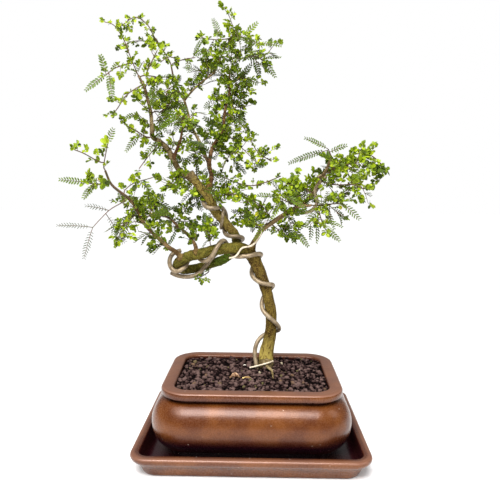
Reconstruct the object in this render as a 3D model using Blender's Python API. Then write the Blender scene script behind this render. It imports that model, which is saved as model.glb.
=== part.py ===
"""Wired acacia bonsai in a glazed rectangular pot on its drip tray.

The script's lengths are millimetres, and MM turns them into metres where a mesh is made.
+X is to the right, +Y to the back and +Z up. The origin is the middle of the tray's underside.
"""

import math
import random
from collections import namedtuple

import bpy
import numpy as np

MM = 0.001
GAP = 0.3
SEED = 41

# Drip tray
TRAY_LENGTH = 241.0
TRAY_WIDTH = 193.5
TRAY_FLOOR = 4.0
# Each profile point is a distance in from the rim's outer edge, a height and a corner radius
TRAY_PROFILE = (
    (12.5, 0.0, 16.0), (11.0, 1.0, 16.5), (9.0, 6.0, 17.0), (6.4, 11.0, 18.0), (3.6, 13.8, 18.5),
    (1.0, 16.4, 19.5), (0.0, 19.2, 20.0), (0.5, 21.4, 19.5), (2.2, 22.6, 18.5), (8.0, 22.6, 12.0),
    (9.6, 21.2, 10.5), (11.0, 10.0, 9.5), (13.0, 5.6, 8.5), (16.5, TRAY_FLOOR, 7.5),
)

# Pot
LIP_LENGTH = 190.0
LIP_WIDTH = 142.5
LIP_CORNER = 30.0
LIP_TOP = 78.5
LIP_UNDERSIDE = 70.4
OPENING_INSET = 14.3
FOOT_INSET = 12.0
FOOT_TOP = 14.0
FOOT_RING = 7.0
FOOT_RECESS = 3.0
BELLY_INSET = 11.0
BELLY_SWELL = 21.0
BELLY_MIDDLE = 41.0
BELLY_RISE = 27.0
WALL = 8.0
POT_FLOOR = 13.3
DRAIN_RADIUS = 5.0
DRAIN_OFFSET = 35.0

# Soil
SOIL_TOP = 75.0
SOIL_EDGE = 5.0
SOIL_DIP = 0.9
SOIL_STIR = 1.2
GRIT_PLACE = (-9.0, 25.0)
HOLE_CLEARANCE = 0.45
WIRE_CLEARANCE = 0.45

# Wire thicknesses, as radii
THICK_WIRE = 2.5
BRANCH_WIRE = 1.8
THIN_WIRE = 1.1
WIRE_SIDES = 6
WINDING_DEGREES = 34
WINDING_LENGTH = 12

# Leaves
TWIG_RADIUS = 0.95
TWIG_TIP_RADIUS = 0.7
TWIG_SIDES = 3
TWIG_GAP = 0.35
BLADE_THICKNESS = 0.65
STALK_HALF_WIDTH = 0.45
FAN_SIZES = (4.6, 6.2)
FAN_STALKS = (4.0, 8.0)
PLUME_PAIRS = 5
PLUME_HALF_WIDTH = 4.4
LEAF_MARGIN = 0.7

# Routes of the woody parts as hand-placed points, each x, y, z and the wood's radius there
WOOD = {
    "trunk": (
        (15.5, 28, 46, 8.9), (15.5, 28, 75, 8.9), (16.5, 28, 92, 8.1), (20, 27, 112, 7.0),
        (21, 25, 131, 6.3), (18, 24, 155, 6.2), (12, 24, 175, 6.4), (4, 23, 195, 6.8),
        (-4, 20, 209, 7.0), (-13, 16, 215, 6.7), (-24, 12, 216, 6.3), (-40, 9, 215, 6.1),
        (-55, 7, 211, 6.0), (-69, 6, 208, 5.9), (-80, 8, 203, 5.8), (-86, 14, 196, 5.6),
        (-81, 22, 190, 5.3), (-69, 28, 190, 5.2), (-53, 33, 194, 5.1), (-38, 36, 199, 5.0),
        (-27, 38, 206, 5.0), (-21, 38, 216, 5.0), (-22, 36, 229, 5.1), (-29, 33, 238, 5.2),
        (-37, 30, 248, 5.4), (-44, 28, 256, 5.4), (-49, 25, 266, 5.2), (-53, 22, 275, 5.0),
        (-61, 19, 284, 4.6), (-67, 17, 293, 4.0), (-71, 15, 301, 3.0),
    ),
    "surface_root": (
        (15, 26, 79, 3.0), (16.5, 19.5, 78, 2.0), (18.5, 13.5, 77.7, 1.8), (22, 5, 77.5, 1.5),
        (22.5, -3, 77.2, 1.4), (23, -9, 75.8, 1.2), (23.5, -12.5, 71, 1.0),
    ),
    "right": (
        (-3, 20, 213, 5.0), (0, 18, 222, 3.3), (4, 14, 229, 3.0), (9, 10, 237, 2.8),
        (20, 2, 246, 2.7), (34, -6, 256, 2.6), (47, -12, 264, 2.6), (58, -17, 273, 2.5),
        (66, -20, 284, 2.3), (69, -22, 293, 2.0), (74, -24, 302, 1.7), (79, -26, 315, 1.3),
    ),
    "right_low": ((47, -12, 264, 2.3), (54, -18, 265, 1.9), (60, -24, 266, 1.5)),
    "low_left": (
        (-79, 8, 204, 4.2), (-85, 4, 211, 3.2), (-91, 0, 216, 2.8), (-100, -6, 225, 2.5),
        (-110, -13, 236, 2.3), (-118, -20, 248, 2.1), (-123, -26, 261, 1.9), (-129, -31, 271, 1.7),
        (-136, -35, 277, 1.5), (-145, -39, 286, 1.3), (-150, -41, 299, 1.1),
    ),
    "mid_left": (
        (-64, 6, 210, 3.8), (-65, 12, 217, 2.6), (-69, 18, 223, 2.3), (-77, 25, 231, 2.1),
        (-87, 33, 238, 1.9), (-101, 42, 248, 1.6), (-115, 48, 251, 1.2),
    ),
    "upper_left": (
        (-65, 17, 289, 4.2), (-73, 18, 294, 3.4), (-83, 14, 302, 3.2), (-89, 8, 313, 3.1),
        (-94, 3, 324, 2.9), (-101, -3, 331, 2.7), (-108, -8, 336, 2.5), (-108, -13, 347, 2.2),
        (-108, -18, 360, 2.0), (-110, -24, 373, 1.8), (-112, -29, 383, 1.6), (-117, -33, 394, 1.3),
    ),
    "leader": (
        (-53, 22, 278, 4.2), (-50, 27, 290, 3.1), (-49, 30, 299, 2.8), (-52, 32, 308, 2.6),
        (-51, 34, 318, 2.4), (-48, 34, 329, 2.1), (-42, 33, 339, 1.9), (-36, 32, 347, 1.8),
        (-35, 30, 361, 1.7), (-33, 28, 373, 1.6), (-29, 26, 386, 1.5), (-29, 23, 401, 1.3),
        (-28, 21, 411, 1.1),
    ),
    "back_rise": (
        (-51, 33, 308, 2.4), (-57, 40, 320, 2.1), (-64, 48, 335, 1.9), (-75, 58, 355, 1.7),
        (-81, 65, 374, 1.6), (-86, 70, 388, 1.5), (-93, 72, 399, 1.4), (-98, 73, 412, 1.2),
        (-101, 72, 427, 1.0),
    ),
    "crown": (
        (-85, 70, 387, 1.6), (-74, 62, 397, 1.3), (-60, 54, 407, 1.2), (-48, 47, 414, 1.2),
        (-42, 41, 425, 1.1), (-35, 34, 438, 0.9),
    ),
    "dark_stub": ((-89, 8, 314, 2.1), (-84, 0, 323, 1.8), (-79, -8, 332, 1.5), (-76, -14, 342, 1.2)),
}
TRUNK_SIDES = 10
TRUNK_STEP = 10
BRANCH_SIDES = 6
BRANCH_STEP = 13
FINE_STEP = 1.5

# A wire wound on the trunk: distance along the trunk, angle round it and height off the bark.
# Seen along the growing trunk, 90 degrees is the front and 270 the back.
TRUNK_WIRE_TURNS = (
    (14, 132, 0.5), (30, 142, 0.6), (39, 162, 1.8), (47, 180, 3.1), (55, 192, 2.6),
    (61, 215, 1.2), (67, 270, 0.0),
    (72, 335, 0.0), (77, 370, 0.0), (90, 450, 0.0), (103, 540, 0.0), (112, 585, 0.0),
    (118, 630, 0.0), (125, 720, 0.0), (131, 810, 0.0), (145, 900, 0.0), (155, 990, 0.0),
    (162, 1080, 0.0), (171, 1175, 0.0), (187, 1250, 0.0), (195, 1350, 0.0), (202, 1440, 0.0),
    (212, 1530, 0.0), (226, 1620, 0.0), (233, 1690, 0.0),
)
UPPER_WIRE_TURNS = (
    (349, 290, 0.0), (353, 350, 0.0), (360, 450, 0.0), (368, 540, 0.0), (375, 630, 0.0),
    (386, 690, 0.0), (396, 720, 0.0), (402, 810, 0.0), (409, 900, 0.0), (415, 990, 0.0),
)
CROSS_WIRE_TURNS = ((373, 215, 0.3), (376, 170, 0.3), (384, 90, 0.0), (391, 25, 0.0))

# Wires that leave the bark, as hand-placed points along each wire
LOOP_WIRE = (
    (-72, 20, 204), (-76, 14, 199), (-79, 7, 194), (-83, 5, 190), (-89, 7, 190), (-94, 9, 196),
    (-94, 9, 204), (-90, 13, 210), (-83, 18, 212),
)
HOOK_WIRE = (
    (-93, 15, 187), (-89, 18, 184), (-81, 19, 182), (-73, 19, 182), (-66, 21, 183), (-60, 23, 188),
    (-55, 24, 194), (-49, 27, 202), (-43, 31, 208),
)
BRANCH_WIRE_ROUTE = (
    (64, -14, 291), (69, -17, 297), (74, -22, 296), (71, -27, 293), (65, -26, 287), (63, -24, 279),
    (66, -22, 271), (65, -20, 265), (59, -17, 259), (50, -13, 257),
)
PALE_WIRE = (
    (9, 3, 242), (8, 3, 233), (4, 7, 226), (-1, 9, 220), (-7, 8, 218), (-13, 7.5, 218), (-16, 6.5, 213),
    (-20, 4, 207), (-27, 5, 206),
)
BASE_WIRE = (
    (-3.4, 16, 76.8), (3, 16.5, 78), (9, 17, 79.7), (15, 17.5, 81.2), (20, 18, 82.7), (24, 20, 83.8),
)

Spray = namedtuple("Spray", "name leaves twigs plumes")
# A leafy spray: its name, its number of small leaves, its twigs, and its long plumes.
# The first twig starts beside its branch, and others start on it. A plume is the number of its
# twig, its place along it from 0 to 1, and its tip.
SPRAYS = (
    Spray("top_left", 6, (
        ((-119, -35, 398), (-122, -38, 407), (-126, -41, 418), (-131, -44, 431), (-137, -46, 438),
         (-146, -47, 441)),
        ((-121, -38, 405), (-130, -46, 401), (-137, -54, 395), (-142, -59, 389)),
    ), ((1, 1.0, (-148, -56, 407)), (1, 1.0, (-159, -66, 373)), (1, 0.9, (-135, -64, 366)))),
    Spray("left_edge", 4, (
        ((-114, -32, 384), (-120, -36, 381), (-127, -42, 373), (-133, -47, 362), (-139, -50, 353)),
    ), ()),
    Spray("left_high", 4, (
        ((-113, -34, 393), (-107, -26, 396), (-100, -16, 395), (-95, -8, 392)),
        ((-109, -29, 395), (-107, -30, 404), (-104, -30, 413), (-99, -28, 419)),
    ), ()),
    Spray("left_elbow", 3, (
        ((-112, -12, 334), (-119, -20, 338), (-126, -28, 343), (-132, -34, 346)),
    ), ()),
    Spray("left_back", 3, (
        ((-105, -10, 362), (-102, 0, 362), (-98, 10, 368), (-95, 20, 378)),
    ), ((0, 0.7, (-103, 16, 349)),)),
    Spray("left_shoulder", 4, (
        ((-104, -6, 327), (-110, -16, 318), (-112, -24, 308), (-118, -30, 302)),
    ), ()),
    Spray("arch", 7, (
        ((-105, 72, 438), (-111, 70, 446), (-120, 66, 459), (-125, 63, 468), (-129, 60, 473),
         (-137, 58, 477), (-146, 56, 478), (-152, 55, 474), (-157, 54, 466)),
        ((-115, 68, 452), (-127, 72, 454), (-140, 76, 457), (-153, 79, 455), (-164, 82, 450)),
    ), ()),
    Spray("arch_right", 4, (
        ((-97, 66, 429), (-87, 58, 431), (-78, 50, 428), (-69, 44, 430)),
        ((-91, 62, 430), (-96, 50, 432), (-101, 38, 428), (-106, 28, 421)),
    ), ()),
    Spray("arch_low", 2, (
        ((-97, 64, 403), (-102, 54, 396), (-104, 46, 385)),
    ), ((0, 1.0, (-100, 40, 360)), (0, 0.6, (-120, 52, 379)))),
    Spray("crown_top", 6, (
        ((-32, 32, 442), (-28, 29, 449), (-25, 27, 453), (-26, 24, 461), (-30, 21, 469),
         (-33, 19, 473)),
        ((-27, 28, 451), (-15, 16, 445), (-4, 6, 439), (3, 0, 434)),
        ((-28, 29, 448), (-41, 42, 449), (-52, 50, 452), (-63, 56, 455)),
    ), ((1, 1.0, (26, -10, 429)), (1, 0.45, (1, 8, 457)), (2, 0.35, (-49, 48, 473)))),
    Spray("crown_right", 3, (
        ((-25, 16, 416), (-20, 12, 419), (-10, 4, 421), (0, -4, 420), (7, -10, 415)),
    ), ((0, 0.95, (25, -16, 416)), (0, 1.0, (20, -16, 397)))),
    Spray("crown_left", 4, (
        ((-54, 56, 418), (-62, 62, 418), (-70, 67, 421)),
        ((-57, 58, 418), (-57, 63, 428), (-61, 68, 439)),
    ), ((0, 1.0, (-86, 76, 426)), (0, 0.7, (-71, 64, 402)))),
    Spray("leader_right", 2, (
        ((-24, 18, 400), (-16, 12, 402), (-9, 6, 400)),
    ), ((0, 1.0, (2, 0, 393)), (0, 0.6, (-6, 6, 413)))),
    Spray("leader_left", 1, (
        ((-34, 32, 380), (-41, 38, 380), (-49, 44, 383)),
    ), ((0, 1.0, (-59, 54, 376)), (0, 0.7, (-48, 46, 399)))),
    Spray("leader_front", 1, (
        ((-27, 22, 374), (-21, 16, 371), (-18, 12, 366)),
    ), ((0, 0.6, (-9, 8, 385)), (0, 1.0, (-16, 4, 349)))),
    Spray("shoot_high", 5, (
        ((-29, 24, 364), (-19, 17, 356), (-9, 11, 344), (0, 6, 327), (8, 2, 317), (18, 0, 312)),
    ), ()),
    Spray("shoot_low", 3, (
        ((-31, 24, 343), (-19, 16, 331), (-10, 10, 323), (3, 5, 310)),
    ), ()),
    Spray("middle_back", 4, (
        ((-44, 39, 327), (-37, 48, 325), (-28, 57, 321), (-19, 64, 317)),
        ((-39, 46, 326), (-39, 60, 337), (-44, 70, 352)),
    ), ()),
    Spray("middle_left", 3, (
        ((-55, 28, 317), (-61, 20, 319), (-68, 12, 323)),
    ), ()),
    Spray("dark_tip", 1, (
        ((-75, -18, 347), (-73, -22, 355)),
    ), ((0, 1.0, (-57, -28, 341)), (0, 0.6, (-97, -26, 346)))),
    Spray("middle_right", 7, (
        ((-44, 25, 298), (-35, 17, 295), (-22, 9, 290), (-8, 2, 286), (6, -4, 287), (19, -9, 293),
         (28, -12, 296)),
        ((-39, 20, 296), (-34, 12, 306), (-30, 5, 315), (-23, -2, 321), (-17, -8, 319)),
    ), ()),
    Spray("right_low_end", 4, (
        ((63, -28, 266), (70, -34, 266), (80, -42, 269), (88, -48, 269)),
        ((66, -30, 266), (67, -36, 257), (69, -42, 250), (72, -46, 243)),
    ), ((0, 1.0, (104, -54, 254)), (1, 1.0, (85, -52, 232)))),
    Spray("right_tip", 1, (
        ((78, -28, 319), (75, -31, 323)),
    ), ((0, 1.0, (51, -36, 333)), (0, 0.9, (36, -22, 309)), (0, 0.6, (92, -36, 326)))),
    Spray("right_mass", 7, (
        ((76, -28, 299), (84, -34, 304), (94, -40, 308), (104, -46, 309)),
        ((78, -30, 301), (87, -18, 310), (100, -8, 318), (114, 0, 321), (127, 6, 319), (136, 10, 313),
         (144, 12, 305)),
    ), ()),
    Spray("right_front", 4, (
        ((73, -26, 289), (83, -34, 287), (96, -42, 288), (109, -50, 283)),
    ), ()),
    Spray("right_back", 3, (
        ((57, -10, 281), (53, 0, 286), (46, 12, 289), (36, 22, 290)),
    ), ((0, 0.8, (39, 20, 275)),)),
    Spray("right_under", 3, (
        ((41, -16, 267), (33, -24, 270), (23, -33, 274)),
    ), ()),
    Spray("right_drop", 1, (
        ((37, -10, 251), (40, -16, 243)),
    ), ((0, 1.0, (57, -22, 223)),)),
    Spray("right_base", 1, (
        ((23, 9, 241), (29, 16, 235)),
    ), ((0, 1.0, (46, 26, 228)),)),
    Spray("inner_back", 4, (
        ((5, 18, 241), (-4, 30, 247), (-13, 42, 254)),
    ), ()),
    Spray("inner_front", 3, (
        ((17, -4, 253), (11, -13, 262), (1, -22, 269)),
    ), ()),
    Spray("far_left", 3, (
        ((-151, -42, 303), (-151, -44, 312), (-149, -46, 320), (-145, -47, 326)),
        ((-151, -43, 307), (-158, -48, 309), (-167, -53, 315), (-177, -56, 319)),
    ), ((0, 1.0, (-139, -49, 339)),)),
    Spray("left_cluster", 2, (
        ((-149, -44, 284), (-155, -51, 285), (-162, -57, 286)),
    ), ((0, 1.0, (-186, -68, 289)), (0, 0.7, (-166, -60, 272)))),
    Spray("left_plumes", 0, (
        ((-133, -38, 268), (-142, -46, 262), (-150, -54, 253), (-158, -60, 243)),
    ), ((0, 1.0, (-189, -70, 245)), (0, 1.0, (-166, -64, 213)), (0, 0.5, (-164, -60, 264)),
        (0, 0.6, (-138, -48, 232)))),
    Spray("left_inner", 3, (
        ((-132, -28, 282), (-126, -20, 287), (-118, -13, 290), (-110, -7, 293)),
    ), ((0, 0.6, (-108, -18, 279)),)),
    Spray("left_under", 3, (
        ((-123, -34, 253), (-127, -43, 248), (-132, -51, 244)),
    ), ()),
    Spray("left_behind", 3, (
        ((-113, -12, 252), (-110, -1, 261), (-107, 9, 270)),
    ), ()),
    Spray("mid_left_tip", 3, (
        ((-122, 52, 255), (-132, 59, 261), (-143, 66, 264)),
    ), ()),
    Spray("mid_left_back", 3, (
        ((-87, 42, 245), (-84, 53, 254), (-80, 64, 264)),
    ), ()),
    Spray("front_tuft", 3, (
        ((-49, 3, 227), (-51, -2, 234), (-47, -7, 241)),
    ), ()),
    Spray("hanging", 2, (
        ((-51, 29, 186), (-57, 25, 183), (-65, 20, 180)),
    ), ()),
    Spray("stub_left", 3, (
        ((-78, 8, 293), (-85, -2, 288), (-91, -11, 283)),
    ), ()),
    Spray("trunk_back", 4, (
        ((-57, 32, 279), (-66, 44, 280), (-77, 56, 277)),
    ), ()),
    Spray("trunk_front", 3, (
        ((-41, 16, 272), (-30, 6, 276), (-19, -4, 276)),
    ), ()),
)


def unit(vector):
    return vector / np.linalg.norm(vector)


def material(name, colour, roughness, metallic=0.0):
    surface = bpy.data.materials.new(name)
    surface.use_nodes = True
    shader = surface.node_tree.nodes["Principled BSDF"]
    shader.inputs["Base Color"].default_value = (*colour, 1.0)
    shader.inputs["Roughness"].default_value = roughness
    shader.inputs["Metallic"].default_value = metallic
    return surface


def add_object(name, body, surface, smooth=True):
    """Make an object of a body, a pair of vertices in millimetres and faces."""
    vertices, faces = body
    mesh = bpy.data.meshes.new(name)
    mesh.from_pydata([tuple(float(value) * MM for value in vertex) for vertex in vertices], [], faces)
    mesh.validate()
    mesh.materials.append(surface)
    if smooth:
        mesh.shade_smooth()
        mesh.set_sharp_from_angle(angle=math.radians(40))
    thing = bpy.data.objects.new(name, mesh)
    bpy.context.scene.collection.objects.link(thing)
    return thing


def combine(target, bodies, operation, surface):
    """Join bodies to an object, or cut them from it, by one Boolean on their collection."""
    group = bpy.data.collections.new(target.name + "_group")
    bpy.context.scene.collection.children.link(group)
    for number, body in enumerate(bodies):
        piece = add_object(f"{target.name}_piece_{number}", body, surface, smooth=False)
        bpy.context.scene.collection.objects.unlink(piece)
        group.objects.link(piece)
    boolean = target.modifiers.new("combine", "BOOLEAN")
    boolean.operation = operation
    boolean.operand_type = "COLLECTION"
    boolean.collection = group
    boolean.solver = "EXACT"
    graph = bpy.context.evaluated_depsgraph_get()
    result = bpy.data.meshes.new_from_object(target.evaluated_get(graph))
    target.modifiers.clear()
    target.data = result
    for piece in list(group.objects):
        bpy.data.objects.remove(piece)
    bpy.data.collections.remove(group)


def rounded_ring(half_x, half_y, corner, height, steps=4, along_x=0, along_y=0):
    """Points round a rectangle with rounded corners, with extra points along its straight sides."""
    centre_x = half_x - corner
    centre_y = half_y - corner
    quarters = ((1, 1, 0, along_x), (-1, 1, 90, along_y), (-1, -1, 180, along_x), (1, -1, 270, along_y))
    points = []
    for number, (sign_x, sign_y, start, extra) in enumerate(quarters):
        for step in range(steps + 1):
            angle = math.radians(start + 90 * step / steps)
            points.append((
                sign_x * centre_x + corner * math.cos(angle),
                sign_y * centre_y + corner * math.sin(angle),
                height,
            ))
        next_x, next_y, next_start, _ = quarters[(number + 1) % 4]
        angle = math.radians(next_start)
        corner_end = np.array(points[-1])
        corner_start = np.array((
            next_x * centre_x + corner * math.cos(angle),
            next_y * centre_y + corner * math.sin(angle),
            height,
        ))
        for step in range(1, extra + 1):
            share = step / (extra + 1)
            points.append(tuple(corner_end * (1 - share) + corner_start * share))
    return points


def loft(rings):
    """A closed body through rings of equal point counts, with both ends filled."""
    count = len(rings[0])
    vertices = [point for ring in rings for point in ring]
    faces = [tuple(reversed(range(count)))]
    for level in range(len(rings) - 1):
        for index in range(count):
            low = level * count
            after = (index + 1) % count
            faces.append((low + index, low + after, low + count + after, low + count + index))
    last = (len(rings) - 1) * count
    faces.append(tuple(range(last, last + count)))
    return vertices, faces


def smooth_route(points, step):
    """A Catmull-Rom curve through the points, sampled about every step."""
    given = np.array(points, dtype=float)
    ends = np.vstack((2 * given[0] - given[1], given, 2 * given[-1] - given[-2]))
    samples = []
    for index in range(1, len(ends) - 2):
        before, start, stop, after = ends[index - 1:index + 3]
        length = np.linalg.norm(stop[:3] - start[:3])
        count = max(1, round(length / step))
        for part in range(count):
            t = part / count
            samples.append(0.5 * (
                2 * start
                + (stop - before) * t
                + (2 * before - 5 * start + 4 * stop - after) * t ** 2
                + (3 * start - before - 3 * stop + after) * t ** 3
            ))
    samples.append(given[-1])
    return np.array(samples)


def tube(route, sides):
    """A closed tube along a route of x, y, z and radius."""
    centres = route[:, :3]
    tangents = np.gradient(centres, axis=0)
    first = unit(tangents[0])
    aside = unit(np.cross(first, (0.3, -1.0, 0.2)))
    rings = []
    for centre, tangent, radius in zip(centres, tangents, route[:, 3]):
        forward = unit(tangent)
        aside = unit(aside - forward * np.dot(aside, forward))
        across = np.cross(forward, aside)
        angles = [2 * math.pi * side / sides for side in range(sides)]
        rings.append([
            centre + radius * (math.cos(angle) * aside + math.sin(angle) * across) for angle in angles
        ])
    return loft(rings)


def distances_along(route):
    return np.concatenate(((0.0,), np.cumsum(np.linalg.norm(np.diff(route[:, :3], axis=0), axis=1))))


def wind(core, turns, radius):
    """The route of a wire wound on a core: each turn point is a distance, an angle and a lift."""
    along = distances_along(core)
    tangents = np.gradient(core[:, :3], axis=0)
    places, angles, lifts = np.array(turns, dtype=float).T
    effort = np.abs(np.diff(angles)) / WINDING_DEGREES + np.abs(np.diff(places)) / WINDING_LENGTH
    effort = np.concatenate(((0.0,), np.cumsum(effort)))
    route = []
    for step in np.linspace(0, effort[-1], round(effort[-1]) + 1):
        place = np.interp(step, effort, places)
        angle = math.radians(np.interp(step, effort, angles))
        lift = np.interp(step, effort, lifts)
        centre = np.array([np.interp(place, along, core[:, axis]) for axis in range(4)])
        forward = unit(np.array([np.interp(place, along, tangents[:, axis]) for axis in range(3)]))
        front = np.array((0.0, -1.0, 0.0))
        front = unit(front - forward * np.dot(front, forward))
        side = np.cross(forward, front)
        reach = centre[3] + radius + GAP + WIRE_CLEARANCE + lift
        route.append(centre[:3] + reach * (math.cos(angle) * side + math.sin(angle) * front))
    return np.array(route)


def settle(route, radius, obstacles):
    """Push a route's points out until it clears every obstacle, each a centre and a radius."""
    centres = obstacles[:, :3]
    reaches = obstacles[:, 3] + radius + GAP + WIRE_CLEARANCE
    route = np.array(route, dtype=float)
    for _ in range(12):
        for index, point in enumerate(route):
            offsets = point - centres
            lengths = np.linalg.norm(offsets, axis=1)
            depths = reaches - lengths
            worst = int(np.argmax(depths))
            if depths[worst] > 0:
                route[index] = point + offsets[worst] / lengths[worst] * depths[worst]
    return route


def with_radius(route, radius):
    return np.column_stack((route, np.full(len(route), radius)))


def make_wires(fine_wood):
    """Every wire's route, each settled clear of the wood and of the wires before it."""
    trunk = fine_wood["trunk"]
    placed = np.vstack(list(fine_wood.values()))
    plans = (
        ("trunk_wire", THICK_WIRE, wind(trunk, TRUNK_WIRE_TURNS, THICK_WIRE)),
        ("upper_wire", THICK_WIRE, wind(trunk, UPPER_WIRE_TURNS, THICK_WIRE)),
        ("cross_wire", BRANCH_WIRE, wind(trunk, CROSS_WIRE_TURNS, BRANCH_WIRE)),
        ("loop_wire", THICK_WIRE, smooth_route(LOOP_WIRE, 4)),
        ("hook_wire", THICK_WIRE, smooth_route(HOOK_WIRE, 5)),
        ("branch_wire", BRANCH_WIRE, smooth_route(BRANCH_WIRE_ROUTE, 4)),
        ("pale_wire", THIN_WIRE, smooth_route(PALE_WIRE, 4)),
        ("base_wire", THIN_WIRE, smooth_route(BASE_WIRE, 3)),
    )
    wires = {}
    for name, radius, route in plans:
        route = with_radius(settle(route, radius, placed), radius)
        wires[name] = route
        placed = np.vstack((placed, smooth_route(route, FINE_STEP)))
    return wires


def twig_start(toward, fine_wood):
    """Where a twig leaves the branch nearest to it, and its direction there."""
    best = None
    for route in fine_wood.values():
        lengths = np.linalg.norm(route[:, :3] - toward, axis=1) - route[:, 3]
        index = int(np.argmin(lengths))
        if best is None or lengths[index] < best[0]:
            best = (lengths[index], route, index)
    _, route, index = best
    away = unit(toward - route[index, :3])
    reach = route[index, 3] + TWIG_GAP
    if index == len(route) - 1:
        axis = unit(route[-1, :3] - route[-2, :3])
        cosine = float(np.dot(axis, away))
        if cosine > 0.6:
            reach = (TWIG_GAP + TWIG_RADIUS * math.sqrt(1 - min(1.0, cosine ** 2))) / cosine
    return route[index, :3] + away * reach, away


def make_twigs(fine_wood, solid):
    """Every spray's twigs: the first starts just off its branch, the others on the first."""
    twigs = {}
    placed = solid
    for spray in SPRAYS:
        routes = []
        for number, points in enumerate(spray.twigs):
            route = np.array(points, dtype=float)
            start_radius = TWIG_RADIUS if number == 0 else TWIG_RADIUS * 0.85
            if number == 0:
                start, away = twig_start(route[0], fine_wood)
                rest = [point for point in route if np.linalg.norm(point - start) > 5]
                route = np.vstack((start, start + away * 2.5, rest))
            else:
                first = smooth_route(routes[0], FINE_STEP)[:, :3]
                route[0] = first[int(np.argmin(np.linalg.norm(first - route[0], axis=1)))]
            radii = np.linspace(start_radius, TWIG_TIP_RADIUS, len(route))
            fine = smooth_route(np.column_stack((route, radii)), 3)
            free = int(np.argmax(distances_along(fine) > 2))
            fine[free:, :3] = settle(fine[free:, :3], start_radius, placed)
            keep = [0, *range(2, len(fine) - 3, 5), len(fine) - 1]
            routes.append(fine[keep])
        twigs[spray.name] = routes
        placed = np.vstack([placed] + [smooth_route(route, FINE_STEP) for route in routes])
    return twigs


Leaf = namedtuple("Leaf", "kind start forward normal length size stalk")


def leaf_spheres(leaf):
    """Spheres that hold a leaf, used to keep leaves apart."""
    if leaf.kind == "fan":
        middle = leaf.start + leaf.forward * (leaf.stalk + leaf.size * 0.45)
        stalk = leaf.start + leaf.forward * (leaf.stalk * 0.6)
        return [(*middle, leaf.size * 0.8), (*stalk, STALK_HALF_WIDTH)]
    spheres = []
    for share in (0.18, 0.36, 0.54, 0.72, 0.9):
        centre = leaf.start + leaf.forward * (leaf.length * share)
        radius = leaf.size * (0.95 if share < 0.8 else 0.75)
        spheres.append((*centre, radius))
    return spheres


def is_clear(spheres, obstacles):
    for sphere in spheres:
        lengths = np.linalg.norm(obstacles[:, :3] - np.array(sphere[:3]), axis=1)
        if np.any(lengths < obstacles[:, 3] + sphere[3] + LEAF_MARGIN):
            return False
    return True


def facing(forward, wish):
    normal = np.array(wish) - forward * np.dot(wish, forward)
    return unit(normal)


def jitter(chance, amount):
    return np.array([chance.uniform(-amount, amount) for _ in range(3)])


def lay_out_leaves(twigs, solid):
    """Choose every leaf of every spray, so that none touches another spray, wood or wire."""
    chance = random.Random(SEED)
    dense = {name: np.vstack([smooth_route(route, 2.5) for route in routes])
             for name, routes in twigs.items()}
    leaves = {spray.name: [] for spray in SPRAYS}
    taken = []

    def obstacles_for(name):
        others = [points for other, points in dense.items() if other != name]
        return np.vstack([solid] + others + ([np.array(taken)] if taken else []))

    def place(spray, make):
        obstacles = obstacles_for(spray.name)
        for attempt in range(14):
            leaf = make(attempt)
            if is_clear(leaf_spheres(leaf), obstacles):
                leaves[spray.name].append(leaf)
                taken.extend(leaf_spheres(leaf))
                return

    for spray in SPRAYS:
        for twig_number, share, tip in spray.plumes:
            twig = twigs[spray.name][twig_number]
            along = distances_along(twig)
            place_on = share * along[-1]
            start = np.array([np.interp(place_on, along, twig[:, axis]) for axis in range(3)])
            aim = np.array(tip, dtype=float) - start

            def plume(attempt):
                reach = aim * (1 - 0.02 * attempt) + jitter(chance, 1.1 * attempt)
                length = np.linalg.norm(reach)
                forward = reach / length
                normal = facing(forward, np.array((0.1, -0.9, 0.45)) + jitter(chance, 0.35))
                return Leaf("plume", start, forward, normal, length, PLUME_HALF_WIDTH, 0.0)

            place(spray, plume)
    for spray in SPRAYS:
        routes = twigs[spray.name]
        lengths = np.array([distances_along(route)[-1] for route in routes])
        for number in range(spray.leaves):
            place_on = lengths.sum() * (number + 0.9) / (spray.leaves + 0.15)
            route_number = 0
            while place_on > lengths[route_number] and route_number < len(routes) - 1:
                place_on -= lengths[route_number]
                route_number += 1
            twig = routes[route_number]
            along = distances_along(twig)
            place_on = min(place_on, along[-1] * 0.985)
            start = np.array([np.interp(place_on, along, twig[:, axis]) for axis in range(3)])
            ahead = np.array([np.interp(place_on + 3, along, twig[:, axis]) for axis in range(3)])
            behind = np.array([np.interp(place_on - 3, along, twig[:, axis]) for axis in range(3)])
            heading = unit(ahead - behind)
            last = place_on > along[-1] * 0.9

            def fan(attempt):
                around = jitter(chance, 1.0)
                sideways = unit(around - heading * np.dot(around, heading))
                lean = 0.9 if last else 0.35
                forward = unit(heading * lean + sideways * (0.3 if last and attempt < 4 else 0.9)
                               + np.array((0.0, 0.0, 0.25)))
                normal = facing(forward, np.array((0.0, -0.7, 0.7)) + jitter(chance, 0.8))
                size = chance.uniform(*FAN_SIZES)
                stalk = chance.uniform(*FAN_STALKS)
                return Leaf("fan", start, forward, normal, stalk + size, size, stalk)

            place(spray, fan)
    return leaves


def thick_blade(outline_points, triangles, rim, leaf, lift):
    """Give a flat pattern two faces split alike and a rim, and set it in its place in space."""
    side = np.cross(leaf.normal, leaf.forward)
    half = BLADE_THICKNESS / 2
    vertices = []
    for offset in (half, -half):
        for x, y in outline_points:
            height = lift(x, y) + offset
            vertices.append(leaf.start + leaf.forward * x + side * y + leaf.normal * height)
    count = len(outline_points)
    faces = list(triangles)
    faces.extend((c + count, b + count, a + count) for a, b, c in triangles)
    for index, point in enumerate(rim):
        following = rim[(index + 1) % len(rim)]
        faces.append((following, point, point + count))
        faces.append((following, point + count, following + count))
    return vertices, faces


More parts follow.
